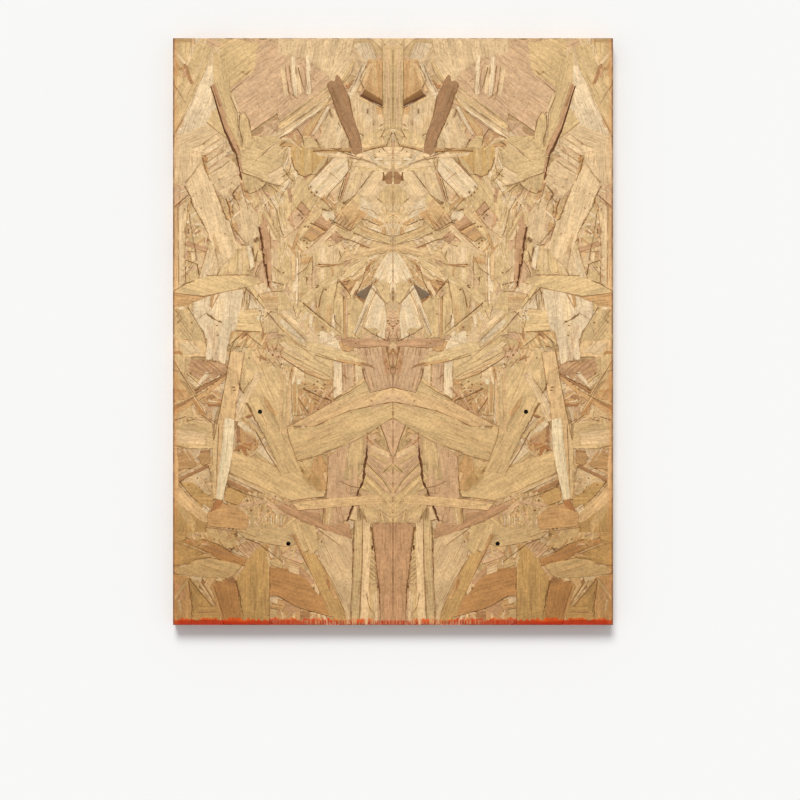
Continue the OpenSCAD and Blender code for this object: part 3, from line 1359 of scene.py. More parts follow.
        self.fines("136,180 158,206", 8, (PALE, BUFF, TAN), 50, 20, (7, 14), (1.2, 2.4))
        self.flake(CREAM, "192,270 190,290 194,300 206,318 204,331 190,336 175,340 153,343 155,325 "
                   "160,300 169,285 171,266 182,270")
        self.stain(PALE, "176,334 184,284", 9, 8)
        self.stain(PINK, "188,306 180,270", 6, 4)
        self.flake(BUFF, "186,322 182,338 186,338 188,326")
        self.lath(BUFF, "178,338 186,323", 2, 1)
        self.flake(TAN, "206,330 204,320 212,324 220,330")
        self.crack("157,247 156,241 152,237", wide=2.4, end=1.2, depth=0.5)
        self.hatch("207,270 190,256", (-5.5, 0.4), 6, BROWN, 0.5)
        self.pits("163,243 162,240", wide=3.6, high=1.6)
        self.pits("190,241 188,257 184,246 207,257 147,273", wide=2.2, high=1.6)
        self.pits("120,282 117,274 114,267 123,276", wide=2.6, high=2.4)
        self.cracks(HAIR, "161,226 150,243 142,254", "148,212 140,204 133,196",
                    "152,278 156,250 158,236", "124,286 114,262")
        self.cracks(FINE, "226,222 206,232 190,240", "225,271 210,247 197,225 191,214",
                    "211,257 203,250 196,244", "193,317 191,319 184,313 174,308",
                    "196,215 188,209 182,204", "224,209 212,213 210,208", "210,209 204,210 200,213")
        self.cracks(SPLIT, "166,281 170,258")
        self.cracks(GAPE, "203,240 190,247 180,252 170,258", "190,318 183,313 175,309",
                    "150,227 144,216 137,203 130,190")

    def crossing_side(self) -> None:
        """The long leaf, the plank across it and the cracked upright plank beside them."""
        self.flake(BUFF, "130,282 130,300 166,300 168,286")
        self.fines("130,284 164,300", 18, (BROWN, TAN, BUFF, TAN, HONEY), 125, 26, (7, 16),
                   (1.6, 4))
        self.flake(TAN, "143,300 132,284 136,283 147,298")
        self.flake(STRAW, "110,300 112,322 132,320 132,298")
        self.lath(PALE, "130,321 111,300", 5, 6)
        self.flake(TAN, "135,322 157,322 161,300 133,300")
        self.stain(STRAW, "156,318 137,316", 6, 5)
        self.lath(PALE, "134,318 128,309", 2.4)
        self.lath(CREAM, "138,322 131,313", 2)
        self.flake(MILK, "139,312 139,316 135,316 134,312")
        self.lath(PALE, "153,322 150,342", 4, 3)
        self.lath(TAN, "149,323 149,342", 2)
        self.flake(PALE, "124,352 146,346 138,338 122,342")
        self.flake(CREAM, "136,324 148,340 148,323")
        self.lath(TAN, "146,346 131,325", 5, 4)
        self.lath(PALE, "142,348 134,338", 5)
        self.flake(HONEY, "104,340 138,338 130,323 120,322 103,325")
        self.stain(BUFF, "132,334 108,333", 5, 3)
        self.fines("112,340 126,384", 14, (PALE, STRAW, CREAM, TAN), 80, 22, (10, 22), (2, 5))
        self.flake(PALE, "126,384 124,352 112,350 112,384")
        self.lath(STRAW, "122,366 113,357", 6, 5)
        self.flake(ROSE, "124,343 125,385 124,404 125,430 131,428 134,415 137,406 134,385 133,370 "
                   "129,345")
        self.lath(BROWN, "132,400 128,352", 2.4, 2)
        self.flake(TAN, "146,358 148,388 170,390 168,358",
                   "168,388 172,366 164,358 158,366 160,388")
        self.stain(PALE, "152,384 158,358", 7, 8)
        self.flake(CREAM, "146,362 150,388 144,392 142,366")
        self.flake(PALE, "219,341 220,431 210,432 211,390 213,350")
        self.flake(HONEY, "219,341 220,430 226,430 226,341")
        self.stain(STRAW, "213,426 214,360", 2.4, 2)
        self.flake(TAN, "199,352 200,370 212,371 212,350")
        self.fines("199,350 213,392", 16, (TAN, PINK, PALE, BUFF), 120, 30, (6, 14), (2, 4))
        self.lath(PALE, "204,372 206,388", 4)
        self.flake(PALE, "190,386 199,352 180,357 178,366 182,385")
        self.stain(CREAM, "187,376 193,354", 5, 6)
        self.flake(TAN, "180,357 176,368 167,373 170,357")
        self.lath(PALE, "168,372 178,359", 1.6)
        self.lath(PINK, "136,372 142,356", 5, 4)
        self.flake(PALE, "179,366 186,391 200,422 213,448 206,459 197,472 189,460 182,444 172,419 "
                   "166,410 162,397 158,385 168,372 176,366", over=True)
        self.stain(TAN, "168,402 162,384", 5, 4, over=True)
        self.stain(BUFF, "184,400 178,378", 3, 4, over=True)
        self.flake(BUFF, "226,340 213,338 190,335 205,330 210,326 226,325", over=True)
        self.flake(TAN, "132,351 145,356 165,357 190,357 212,348 226,340 213,338 195,336 170,341 "
                   "150,345", over=True)
        self.crack("137,407 135,398 133,385", wide=2.0, end=2.4, depth=0.8, tone=BARK)
        self.crack("134,386 132,373 131,366", wide=1.8, end=1.2, depth=0.8, tone=BARK)
        self.crack("130,369 129,357 127,346", wide=2.4, end=1.8, depth=0.9, tone=BARK)
        self.crack("127,347 124,342", wide=1.6, depth=0.6)
        self.hatch("222,322 204,298", (-1.0, -6.0), 4, BROWN, 0.6)
        self.pits("139,333 136,321 133,316 180,306 206,309", wide=2.6, high=1.4)
        self.pits("191,292 192,289 179,296 148,362", wide=2.2, high=2, tone=BROWN)
        self.cracks(HAIR, "190,357 165,358 146,357", "226,340 205,337 190,336 170,341 152,345",
                    "212,349 213,380 210,430", "190,384 199,354", "182,384 178,366 168,373")
        self.cracks(FINE, "225,341 212,349 203,352", "160,301 146,300 133,300",
                    "133,300 136,312 134,321", "151,343 153,325", "146,340 147,326",
                    "202,385 201,372", "204,368 211,358", "180,357 176,365",
                    "141,358 138,366 133,373", "124,341 112,341", "138,338 132,330",
                    "122,366 113,358", "124,321 134,312", "210,325 202,312 193,297",
                    "150,298 142,291 133,284", "126,404 125,385")
        self.cracks(SPLIT, "151,345 142,336 131,323", "212,373 200,369", "141,372 138,383",
                    "124,351 112,348", "129,320 122,312 112,300", "165,288 156,296 150,301")
        self.cracks(GAPE, "200,369 198,357", "144,386 142,373")

    def crown_middle(self) -> None:
        """The pale crown beside the middle line and its fan of thin laths."""
        self.flake(TAN, "50,296 50,350 118,350 118,296")
        self.flake(STRAW, "50,345 50,392 118,392 118,345")
        self.flake(PALE, "80,288 116,320 104,325 92,318 78,300")
        self.flake(CREAM, "88,292 114,314 116,308 92,288")
        self.lath(TAN, "116,304 96,286", 4)
        self.fines("78,298 92,326", 10, (PALE, PINK, TAN, CREAM), 100, 14, (12, 24), (2, 4))
        self.lath(PALE, "112,352 98,320", 9, 4)
        self.lath(PINK, "113,350 105,338", 7, 5)
        self.flake(STRAW, "105,330 95,314 99,312 94,330 98,334")
        self.fines("80,346 112,388", 30, (PALE, PINK, CREAM, TAN, STRAW), 96, 22, (9, 26),
                   (1.6, 4.5))
        self.flake(BUFF, "96,374 83,377 81,371 92,368")
        self.flake(TAN, "56,355 57,340 61,320 62,305 80,300 80,318 77,330 72,345 66,352")
        self.tint(BUFF, "78,325 80,300 63,303 62,328")
        self.stain(TAN, "68,342 74,306", 7, 6)
        self.stain(BUFF, "94,340 84,322", 6, 5)
        self.stain(ROSE, "71,300 74,316", 4, 1.5)
        self.flake(TAN, "50,298 51,336 58,336 61,318 60,302")
        self.flake(CREAM, "75,288 75,300 68,299 58,290")
        self.lath(CREAM, "60,318 62,296", 3.5, 5)
        self.flake(TAN, "32,293 30,335 50,335 52,293")
        self.stain(TAN, "36,330 36,300", 4, 5)
        self.lath(BUFF, "49.5,334 49,293", 2.8)
        self.lath(PINK, "47.5,333 47,293", 1.6)
        self.flake(STRAW, "97,332 78,348 57,359 57,352 72,342 88,328")
        self.stain(TAN, "92,333 60,354", 3, 2)
        self.flake(PALE, "78,364 76,388 56,388 56,368")
        self.stain(PINK, "80,344 80,366", 8, 7)
        self.stain(CREAM, "72,386 72,352", 4, 3)
        self.lath(BUFF, "63,368 61,357", 3, 2)
        self.lath(BUFF, "78,367 50,369", 2.4, 2)
        self.lath(STRAW, "74,365.5 60,366.5", 1.2)
        self.flake(BROWN, "55,351 43,337 37,338 35,350 45,352")
        self.lath(BUFF, "45,350 33,348", 4, 3)
        self.lath(PALE, "55,350 44,336", 1.6, 1.2)
        self.lath(PINK, "54,343 48,336", 3)
        self.fines("14,348 54,378", 26, (PALE, TAN, STRAW, CREAM, BUFF), 145, 12, (12, 26),
                   (1.4, 3.6))
        for k in range(5):
            line = [(53 - 2 * k, 353 + 3.5 * k), (28 - k, 369 + 2.5 * k)]
            self.lath((PALE, STRAW, TAN)[k % 3], line, 2.8)
        self.lath(CREAM, "98.5,329 97.5,386", 2.2, 2)
        self.lath(PALE, "96,330 95,384", 1.4)
        self.lath(HONEY, "101.5,352 102,385", 2.6, 4)
        self.lath(TAN, "105,352 109,384", 4, 6)
        self.lath(PALE, "44,335 25,372", 3.2, 3)
        self.lath(TAN, "33,352 12,378", 2.6, 2.6)
        self.lath(PALE, "31,350 10,378", 1.2, 1.2)
        self.fines("12,344 34,378", 12, (RUST, TAN, PALE, BUFF), 128, 12, (8, 18), (1.2, 2.6))
        self.lath(CREAM, "39,298 20,345", 3.6, 5)
        self.lath(PALE, "36,297 17,345", 1.6, 1.8)
        self.flake(SLATE, "22,349 38,338 36,336 29,332 21,347")
        self.lath(BUFF, "34,346 22,355", 4, 3)
        self.lath(RUST, "38,336.5 30,331", 2, 1.6)
        self.flake(PINK, "0,293 7,293 7,308 0,308")
        self.lath(ROSE, "5,304 2,294", 2)
        self.flake(CREAM, "30,303 24,325 17,340 8,328 6,312 8,300 8,292")
        self.stain(PALE, "26,306 18,334", 4, 3)
        self.stain(PALE, "12,300 10,324", 4, 3)
        self.flake(TAN, "29,303 28,299 18,297 14,299 16,303 24,304")
        self.flake(CREAM, "20,356 12,372 5,380 0,382 0,345 6,331 10,350")
        self.stain(PALE, "10,368 4,340", 5, 3)
        self.flake(STRAW, "20,349 7,328 3,331 3,348 10,352")
        self.fines("0,306 6,322", 7, (RUST, PINK, CREAM), 40, 12, (4, 8), (0.8, 1.6))
        self.flake(HONEY, "52,371 30,377 8,381 0,383 0,392 30,388 50,384")
        self.stain(STRAW, "50,381 8,388", 4, 5)
        self.flake(TAN, "26,377 10,380 4,384 22,381")
        self.stain(ROSE, "52,291 6,288", 7, 6)
        self.lath(TAN, "90,325 53,295", 3, 2.4)
        self.pits("77,347 78,345 69,343 5,311 4,308 0,303 112,360", wide=2.6, high=1.8)
        self.pits("38,288 72,304 45,318 91,326", wide=1.8, high=1.6)
        self.cracks(HAIR, "78,324 80,338", "50.5,336 50.5,316 50,294", "98,326 96,340 97,384",
                    "76,369 62,368 50,370", "116,318 100,302 86,288", "116,304 104,294 96,284")
        self.cracks(FINE, "56,354 60,334 61,318", "82,372 83,350", "98,358 88,365 84,376",
                    "102,326 99,314", "94,322 98,313", "40,334 31,352 26,371",
                    "21,350 28,340 32,332", "39,297 33,310 27,326", "30,304 20,297 4,290",
                    "40,297 34,293", "21,344 14,336 6,328", "17,298 15,291")
        self.cracks(SPLIT, "92,329 82,321 70,311 52,297", "60,317 59,310 53,304",
                    "76,325 74,336 71,344", "55,352 48,344 43,336", "55,382 53,376 56,371",
                    "6,290 3,300")
        self.cracks(GAPE, "88.5,356 88,348", "0,345 0,330")

    def fan_middle(self) -> None:
        """Broad pieces that fan out from the middle above the crown."""
        self.flake(PALE, "38,441 24,459 8,462 0,450 0,398 20,398 34,424")
        self.flake(TAN, "15,448 14,432 8,428 0,430 0,450")
        self.flake(CREAM, "36,440 20,428 16,414 34,424")
        self.fines("0,398 30,424", 34, (CREAM, PALE, STRAW, TAN, HONEY), 60, 45, (6, 14),
                   (1.6, 4.5))
        self.lath(BUFF, "22,415 11,410", 4, 2)
        self.lath(BUFF, "9,408 9,398", 3, 4)
        self.flake(CREAM, "24,408 13,405 14,400 24,403")
        self.lath(TAN, "116,400 112,470", 6, 8)
        self.flake(STRAW, "116,396 116,440 94,462 86,446 104,420")
        self.stain(TAN, "116,420 95,458", 8)
        self.lath(PALE, "105,438 94,457", 5, 4)
        self.lath(CREAM, "112,446 98,466", 6, 4)
        self.fines("98,452 116,480", 10, (PALE, CREAM, STRAW, TAN), 110, 24, (10, 20), (2, 5))
        self.flake(OCHRE,
                   "104,490 104,476 100,466 95,460 90,458 84,461 79,460 74,467 67,472 65,490")
        self.stain(TAN, "88,462 87,488", 7, 6)
        self.stain(TAN, "97,466 98,488", 3, 4)
        self.flake(TAN, "92,458 104,440 98,424 84,424 76,438 84,446 86,456")
        self.lath(ROSE, "90,459 84,450", 5, 4)
        self.flake(TAN, "66,478 86,450 91,452 72,476")
        self.flake(CREAM, "62,476 75,462 87,450 85,446 80,441 74,436 66,438 59,447 50,456 45,465 "
                   "43,476 52,481")
        self.stain(PALE, "70,462 52,478", 5, 5)
        self.stain(STRAW, "78,446 56,466", 3, 3)
        self.stain(PALE, "74,440 58,456", 4, 2)
        self.flake(PALE, "72,438 56,452 50,456 54,434 64,426")
        self.fines("54,424 74,440", 8, (TAN, PINK, BUFF), 40, 30, (7, 14), (2, 4))
        self.flake(PALE, "42,479 46,462 53,433 50,431 38,440 30,451 15,471 14,476 22,482")
        self.stain(TAN, "44,446 34,462", 5, 4)
        self.flake(PALE, "38,440 24,459 15,470 4,474 5,450 16,440 28,438")
        self.stain(PALE, "32,442 20,458", 5, 6)
        self.flake(PINK, "12,474 3,474 2,462 8,463 13,466")
        self.flake(TAN, "50,428 36,442 33,436 34,424 30,415 44,403 54,408 63,414")
        self.tint(BUFF, "62,414 50,428 36,430 30,415 44,403 54,408")
        self.tint(ROSE, "63,414 57,421 46,412 38,416 34,411 44,403 54,408")
        self.hatch("61,413 55,421", (-3.2, -1.9), 6, BROWN)
        self.stain(ROSE, "36,426 43,436", 5, 4)
        self.flake(BUFF, "44,403 31,414 26,421 34,424 42,414")
        self.lath(TAN, "40,408 30,416", 2, 2)
        self.flake(ROSE, "98,426 94,433 85,423 88,418")
        self.flake(PINK, "104,420 97,425 89,417 96,406 102,408")
        self.flake(ROSE, "107,418 103,404 100,404 104,420")
        self.flake(PALE, "114,416 108,416 102,404 110,396 116,398")
        self.flake(ROSE, "68,402 84,411 78,420 70,418 62,411")
        self.flake(BROWN, "68,402 84,412 82,414 66,405")
        self.flake(BUFF, "86,410 68,402 84,392 94,398")
        self.stain(ROSE, "84,404 72,398", 6, 4)
        self.lath(PALE, "82,424 76,416", 3, 2)
        self.flake(CREAM, "66,411 74,420 68,424 60,422 58,412")
        self.lath(BUFF, "68,409 64,415", 2.4)
        self.flake(STRAW, "109,390 92,408 74,430 75,436 68,431 66,427 84,408 98,390 106,384")
        self.stain(HONEY, "100,396 76,424", 3, 3)
        self.flake(PALE, "116,378 116,396 104,396 98,388 98,378")
        self.fines("92,378 116,396", 12, (STRAW, TAN, BUFF, PALE), 80, 30, (8, 18), (2, 4))
        self.flake(PALE, "94,380 60,410 56,406 60,400 82,380")
        self.stain(PINK, "88,382 62,404", 3, 2)
        self.flake(TAN, "56,407 36,398 28,388 50,396 62,400")
        self.fines("28,384 62,404", 24, (PALE, PINK, TAN, CREAM, STRAW), 60, 45, (6, 14), (1.6, 4))
        self.lath(PALE, "34,398 44,388", 8, 6)
        self.flake(ROSE, "50,396 57,389 64,399 58,402")
        self.lath(RUST, "34,388.5 24,385.5", 2.4, 1)
        self.flake(TAN, "36,410 2,396 2,389 30,398 44,402")
        self.stain(BUFF, "34,405 8,395", 3, 2)
        self.flake(ROSE, "109,447 106,432 103,432 104,446")
        self.lath(PINK, "109,446 101,448", 2, 1)
        self.lath(ROSE, "45,463 53,435", 3, 2)
        self.flake(BROWN, "1,451 7,451 10,457 5,463 1,464")
        self.hatch("61,413 55,420", (-3.2, -1.9), 6, UMBER, 0.8)
        self.hatch("60,416 56,419", (-3.6, -2.4), 4, BROWN, 0.7)
        self.pits("86,446 83,442 80,439 78,442 84,448", wide=1.8, high=2.6)
        self.pits("87,407 90,407 88,386 91,393 88,390 96,419 93,416 50,432", wide=2.4, high=1.8)
        self.pits("10,455", wide=2.6, high=4)
        self.cracks(HAIR, "62,477 76,462 88,449", "66,479 70,470 84,455", "64,462 54,454",
                    "15,453 10,448", "33,427 22,424 14,418", "52,422 44,410",
                    "85,421 92,412 104,400", "68,402 80,391 90,381", "36,410 22,404 8,399",
                    "116,436 105,452")
        self.cracks(FINE, "45,465 46,478", "45,465 52,455 60,447 68,438", "68,472 66,480",
                    "90,458 84,461 79,460", "68,436 64,442", "48,457 55,433", "44,465 42,474",
                    "24,459 31,450 38,441", "44,478 30,475 16,470", "38,440 49,430",
                    "46,408 40,412 34,420", "94,433 84,422", "65,415 61,410",
                    "73,436 68,431 62,424", "58,409 46,402", "63,396 58,390", "40,401 24,394 3,389",
                    "113,458 106,464 103,476", "112,466 103,454", "116,408 112,398")
        self.cracks(SPLIT, "104,478 101,467 95,460 90,458", "50,456 54,444 56.5,434",
                    "16,436 11,432", "63,414 54,409 44,403 36,410", "98,426 88,416",
                    "84,411 76,407 67,403", "57,397 40,392 25,386", "66,387 60,389",
                    "32,415 26,414", "25,413 16,409 11,409")
        self.cracks(GAPE, "10,463 9,455", "72,425 63,423")

    def fan_side(self) -> None:
        """Long pale and pink pieces of the upper corner, split by a black crack."""
        self.flake(PALE, "172,590 170,450 222,440 226,560 226,596")
        self.flake(CREAM, "196,572 218,516 222,496 198,500 188,512 185,530 184,572")
        self.flake(PALE, "222,500 190,512 172,492 180,480 214,486",
                   "226,440 226,500 212,494 198,472 208,458 213,448")
        self.flake(PINK, "226,424 226,452 213,448 208,438 218,428")
        self.fines("212,428 226,450", 12, (PINK, ROSE, HONEY, CREAM), 145, 10, (8, 16), (1.2, 2.8))
        self.flake(STRAW, "209,436 209,384 180,384 196,412 207,434")
        self.fines("186,386 210,434", 44, (PALE, TAN, BUFF, CREAM, PINK), 100, 38, (6, 18),
                   (1.4, 4))
        self.lath(ROSE, "210,390 192,384", 6, 5)
        self.flake(BROWN, "204,400 198,404 196,403 202,399")
        self.flake(PINK, "145,505 112,527 60,556 60,590 150,600 170,560 166,545 157,524 150,512")
        self.flake(TAN, "172,546 142,566 138,596 176,600 180,560")
        self.tint(ROSE, "146,502 112,524 112,508 130,499")
        self.flake(STRAW, "112,447 130,452 156,463 158,480 152,500 112,500")
        self.flake(PALE, "112,470 126,462 130,452 112,448")
        self.fines("112,470 152,500", 5, (STRAW, PALE, TAN), 140, 14, (12, 30), (2, 6))
        self.flake(TAN, "155,462 153,443 146,442 138,445 130,452")
        self.flake(PALE, "188,468 168,480 160,470 156,450 164,438 169,434 181,444 186,452")
        self.flake(HONEY, "195,445 196,480 190,470 191,445")
        for k in range(7):
            line = [(190 + 0.6 * k, 460 + 5 * k), (166 - 0.4 * k, 476 + 4 * k)]
            self.stain((PALE, PINK, CREAM)[k % 3], line, 3.2, 3)
        self.flake(ORANGE, "194,480 189,478 190,473 195,474")
        self.flake(BUFF, "192,474 188,462 190,460 194,470")
        self.flake(PALE, "157,449 163,441 158,429 150,430 150,446")
        self.lath(SLATE, "161,443 158,438", 2, 1.4)
        self.lath(ROSE, "155,454 148,424", 4, 3)
        self.flake(STRAW, "150,443 144,425 136,430 138,445")
        self.fines("136,424 150,444", 8, (TAN, ROSE, PALE), 78, 14, (8, 18), (1.6, 3.2))
        self.flake(PALE, "176,440 164,412 150,392 136,396 150,432 166,440")
        self.fines("150,388 178,442", 34, (PALE, TAN, CREAM, PINK, BUFF), 72, 26, (8, 20),
                   (1.6, 4.5))
        self.flake(PALE, "157,424 154,410 160,396 150,388 140,392 138,420 146,430")
        self.lath(PALE, "141,396 133,436", 6, 5)
        self.lath(CREAM, "131,440 128,418", 5, 3)
        self.flake(CREAM, "136,447 126,438 112,446 112,400 118,424 126,430")
        self.flake(ROSE, "136,432 137,384 125,384 126,420")
        self.fines("112,396 136,446", 14, (PALE, STRAW, TAN), 76, 18, (10, 26), (1.8, 5))
        self.lath(PINK, "135,446 127,437", 2)
        self.flake(TAN, "223,500 192,566 186,590 200,596 214,560 226,530 226,500")
        self.stain(HONEY, "222,512 200,556", 4, 3)
        self.stain(PALE, "224,528 192,580", 2.4, 3)
        self.stain(ORANGE, "219,508 214,519", 5, 4)
        self.flake(TAN, "226,540 226,596 206,596 214,556")
        self.lath(BUFF, "214,570 204,552", 7, 3)
        self.lath(BROWN, "212,572 206,553", 4, 2.4)
        self.fines("206,560 226,598", 5, (TAN, BUFF, PALE, ROSE), 70, 30, (8, 20), (2, 5))
        self.flake(TAN, "191,514 169,496 176,512 181,528 186,522")
        self.flake(CREAM, "182,538 187,528 183,525 180,532")
        self.flake(TAN, "172,590 172,545 162,520 158,495 150,494 157,522 166,546",
                   "183,555 176,530 166,502 156,484 150,486 158,500 166,540 176,580 184,590")
        self.stain(TAN, "178,550 160,498", 5, 4)
        self.lath(PALE, "164,542 158,524", 3, 2)
        self.stain(BUFF, "170,512 158,484", 3, 8)
        self.flake(TAN, "157,500 157,521 152,524 148,519 146,508 143,496 150,488")
        self.lath(CREAM, "158.5,524 158,500", 1.8, 1.6)
        self.flake(ROSE, "160,480 172,505 180,530 186,551 182,554 177,540 170,515 160,492 155,480",
                   over=True)
        # A brown lath beside the black crack: painted shadow.
        self.lath(BROWN, "184,551 177,530", 1.4, 1.6, over=True)
        self.lath(ROSE, "158,478 154,462", 4, 2, over=True)
        self.crack("186.5,551 183,541 180,530 176,517 172,505 168,497", wide=1.4, end=2.4,
                   depth=0.9, tone=BARK)
        self.crack("168.5,498 165,489 161,483 159,475 157,465 155,455", wide=2.6, end=1.0,
                   depth=0.9, tone=BARK)
        self.crack("190,480 196,480", wide=1.2, tone=ORANGE)
        self.hatch("190,466 170,480", (1.2, 6.5), 5, BROWN, 0.6)
        self.pits("139,395 141,393", wide=3.2, high=3.2)
        self.pits("201,441 196,426 172,400 178,456 174,448 165,452", wide=1.6, high=1.4)
        self.pits("213,425 138,533 160,535 134,526 124,540 193,492", wide=1.5, high=1.2,
                  tone=BROWN)
        self.cracks(HAIR, "144,498 138,492", "152,466 145,463", "126,462 112,470",
                    "128,452 126,449 124,451", "222,504 206,534 194,562", "226,556 216,540 208,526",
                    "213,452 206,459 197,472", "206,405 205,396 203,386", "210,382 192,381",
                    "167,424 165,412 162,400 160,394", "179,440 176,432", "182,444 176,430 170,414",
                    "156,452 152,438 148,425", "134,446 130,440 126,437", "190,460 176,468 168,474")
        self.cracks(FINE, "156,463 140,458 128,452 112,448", "191,514 180,505 168,496",
                    "166,545 158,552 146,562", "166,540 162,530 159,524 158,500",
                    "152,524 148,518 146,508 144,498", "134,480 126,488 116,495",
                    "152,444 146,441 138,444 130,451", "213,449 208,440 206,436",
                    "205,429 196,414 188,398", "203,390 203,383", "166,410 163,400 161,393",
                    "126,436 119,424 114,402", "131,430 126,418")
        self.cracks(SPLIT, "195,478 191,464 187,454", "157,521 157.5,508 154.5,498 154,490",
                    "223,428 216,434 209,440", "208,420 207.5,412 206,405", "209,405 209,400",
                    "190,395 186,391", "164,430 164,420", "167,432 163,436",
                    "162,404 157,398 151,390")
        self.cracks(GAPE, "154,566 150,563 146,567", "207,437 205,428", "171,436 168,428 167,420",
                    "174,424 171,416 166,412", "164.5,440 161,435 158,429",
                    "164,441 161,445 157,449")

    def head_middle(self) -> None:
        """The dark slanting plank at the top, and the pale pieces around it."""
        self.flake(PALE, "46,565 40,600 118,600 118,540 68,540")
        self.flake(PINK, "116,500 64,548 66,562 90,580 118,584 118,500")
        self.flake(STRAW, "2,486 2,510 36,510 40,486")
        self.fines("2,488 34,512", 12, (STRAW, TAN, PALE, PINK), 125, 30, (8, 18), (2, 5))
        self.flake(PALE, "40,462 2,466 0,488 42,488")
        self.fines("0,464 44,486", 14, (PALE, TAN, STRAW, CREAM), 60, 50, (8, 20), (2, 6))
        self.flake(BUFF, "116,494 100,503 92,496 98,489 116,489")
        self.fines("92,489 114,504", 10, (BUFF, TAN, PALE, ROSE), 30, 30, (6, 14), (1.6, 3.4))
        for k in range(6):
            line = [(113 - 5.2 * k, 572 + 5 * (k % 3)), (109 - 4.6 * k, 541 + 2 * (k % 2))]
            self.lath((PALE, PINK, CREAM)[k % 3], line, 4.6, 4)
        self.flake(TAN, "116,497 66,532 64,545 116,512")
        self.lath(PALE, "118,502 64,541", 4.4, 3.4)
        self.lath(HONEY, "118,508 64,546", 2.6, 2.4)
        self.lath(CREAM, "116,498 68,533", 3.4, 2.4)
        self.lath(STRAW, "118,512 66,550", 3, 2.6)
        self.flake(BUFF, "64,538 80,509 88,497 92,499 92,506 84,516 70,532")
        self.stain(TAN, "88,505 68,534", 3, 4)
        self.flake(TAN, "92,500 84,500 78,492 64,488 86,486 94,490")
        self.flake(SAND, "65,528 73,504 78,494 69,487 45,487 45,495 54,516 60,528")
        self.stain(PALE, "64,520 68,492", 8, 6)
        self.stain(CREAM, "56,514 54,494", 6, 8)
        self.lath(CREAM, "66,529 82,500", 3.4, 2.6)
        self.lath(BUFF, "82,485.5 40,485.5", 3, 3.6)
        self.lath(PALE, "78,482 45,478", 4)
        self.flake(SAND, "42,520 44,544 36,544 32,538 11,528 10,512 25,501 36,502")
        self.stain(PALE, "36,532 33,508", 8, 7)
        self.stain(CREAM, "26,530 24,512", 8, 6)
        self.flake(BUFF, "18,531 12,530 13,522 16,523")
        self.stain(HONEY, "37,519 31,504", 7, 5)
        self.flake(TAN, "11,528 11,592 0,592 0,507 9,509")
        self.stain(PINK, "6,588 5,512", 4, 5)
        self.flake(BUFF, "11,534 11,578 26,578 29,548 28,546")
        self.stain(TAN, "20,578 19,552", 5, 4)
        self.flake(UMBER, "10.5,530 33,541 29,548 11,537")
        # A thin dark sliver along the lower edge of the umber strip: painted shadow.
        self.flake(BARK, "10.5,530 34,541 32,543 11,532")
        self.lath(TAN, "35,539 24,533", 1.6)
        self.lath(CREAM, "46,538 30,572", 6, 6)
        self.lath(PALE, "41,540 27,570", 2.4, 3)
        self.lath(HONEY, "34,545 22,574", 3.4, 4)
        self.flake(PALE, "54,553 38,576 52,590 64,566")
        self.lath(TAN, "52,556 40,576", 3)
        self.flake(BROWN, "48,551 44,549 39,557 42,557")
        self.flake(RUST, "49,551 45,548 44,550 48,553")
        self.lath(BUFF, "31,485.5 7,490", 2.8, 2.4)
        self.flake(COCOA, "46,499 58,524 63,540 67.5,553.5 63,557 60,556 59,561 57,563 54,560 "
                   "50,551 45,541 42,528 40,515 34,502 32,492 31,483 38,480 41,482 43,490",
                   over=True)
        self.stain(BROWN, "56,558 45,524", 3, 3, over=True)
        self.stain(UMBER, "62,550 50,514", 1.4, 1, over=True)
        self.crack("61,534 60,531", wide=2.4, tone=UMBER)
        self.crack("11,529 34,541", wide=0.9, tone=BARK)
        self.pits("26,526 26,524", wide=1.2, high=2.4)
        self.pits("81,558 79,556 10,529 20,512 12,506 14,484", wide=1.6, high=1.4)
        self.cracks(HAIR, "64,528 70,516 82,500", "112,507 90,522 66,540", "116,514 90,532 66,551",
                    "105,502 84,518 64,533", "44,546 36,560 32,572", "51,554 44,562 40,572",
                    "110,570 107,545 103,534", "91,570 88,552 86,544", "85,566 83,548")
        self.cracks(FINE, "67.5,552 61,536 54,515 46,498 43,488", "45,540 41,520 35,502 32,490",
                    "30,484 20,487 8,489", "10,503 14,497", "8,508 10,503",
                    "60,487 48,482 36,478 16,471", "43,487 43,478", "56,513 53,508",
                    "116,497 98,508", "11,576 11,550 10.5,528", "30,549 34,558 27,572",
                    "106,572 104,552 101,541")
        self.cracks(SPLIT, "82,484 70,485 60,485 44,484", "60,486.5 52,486.5", "11,488 8,484",
                    "30,500 34,503", "65,527 64,522 62,520", "98,507 93,500 91,490",
                    "110,494 116,490", "97,570 93,554 90,546", "103,543 101,540 97,538")
        self.cracks(GAPE, "1,503 4,497 7,490", "79,497 77,493 75,489")


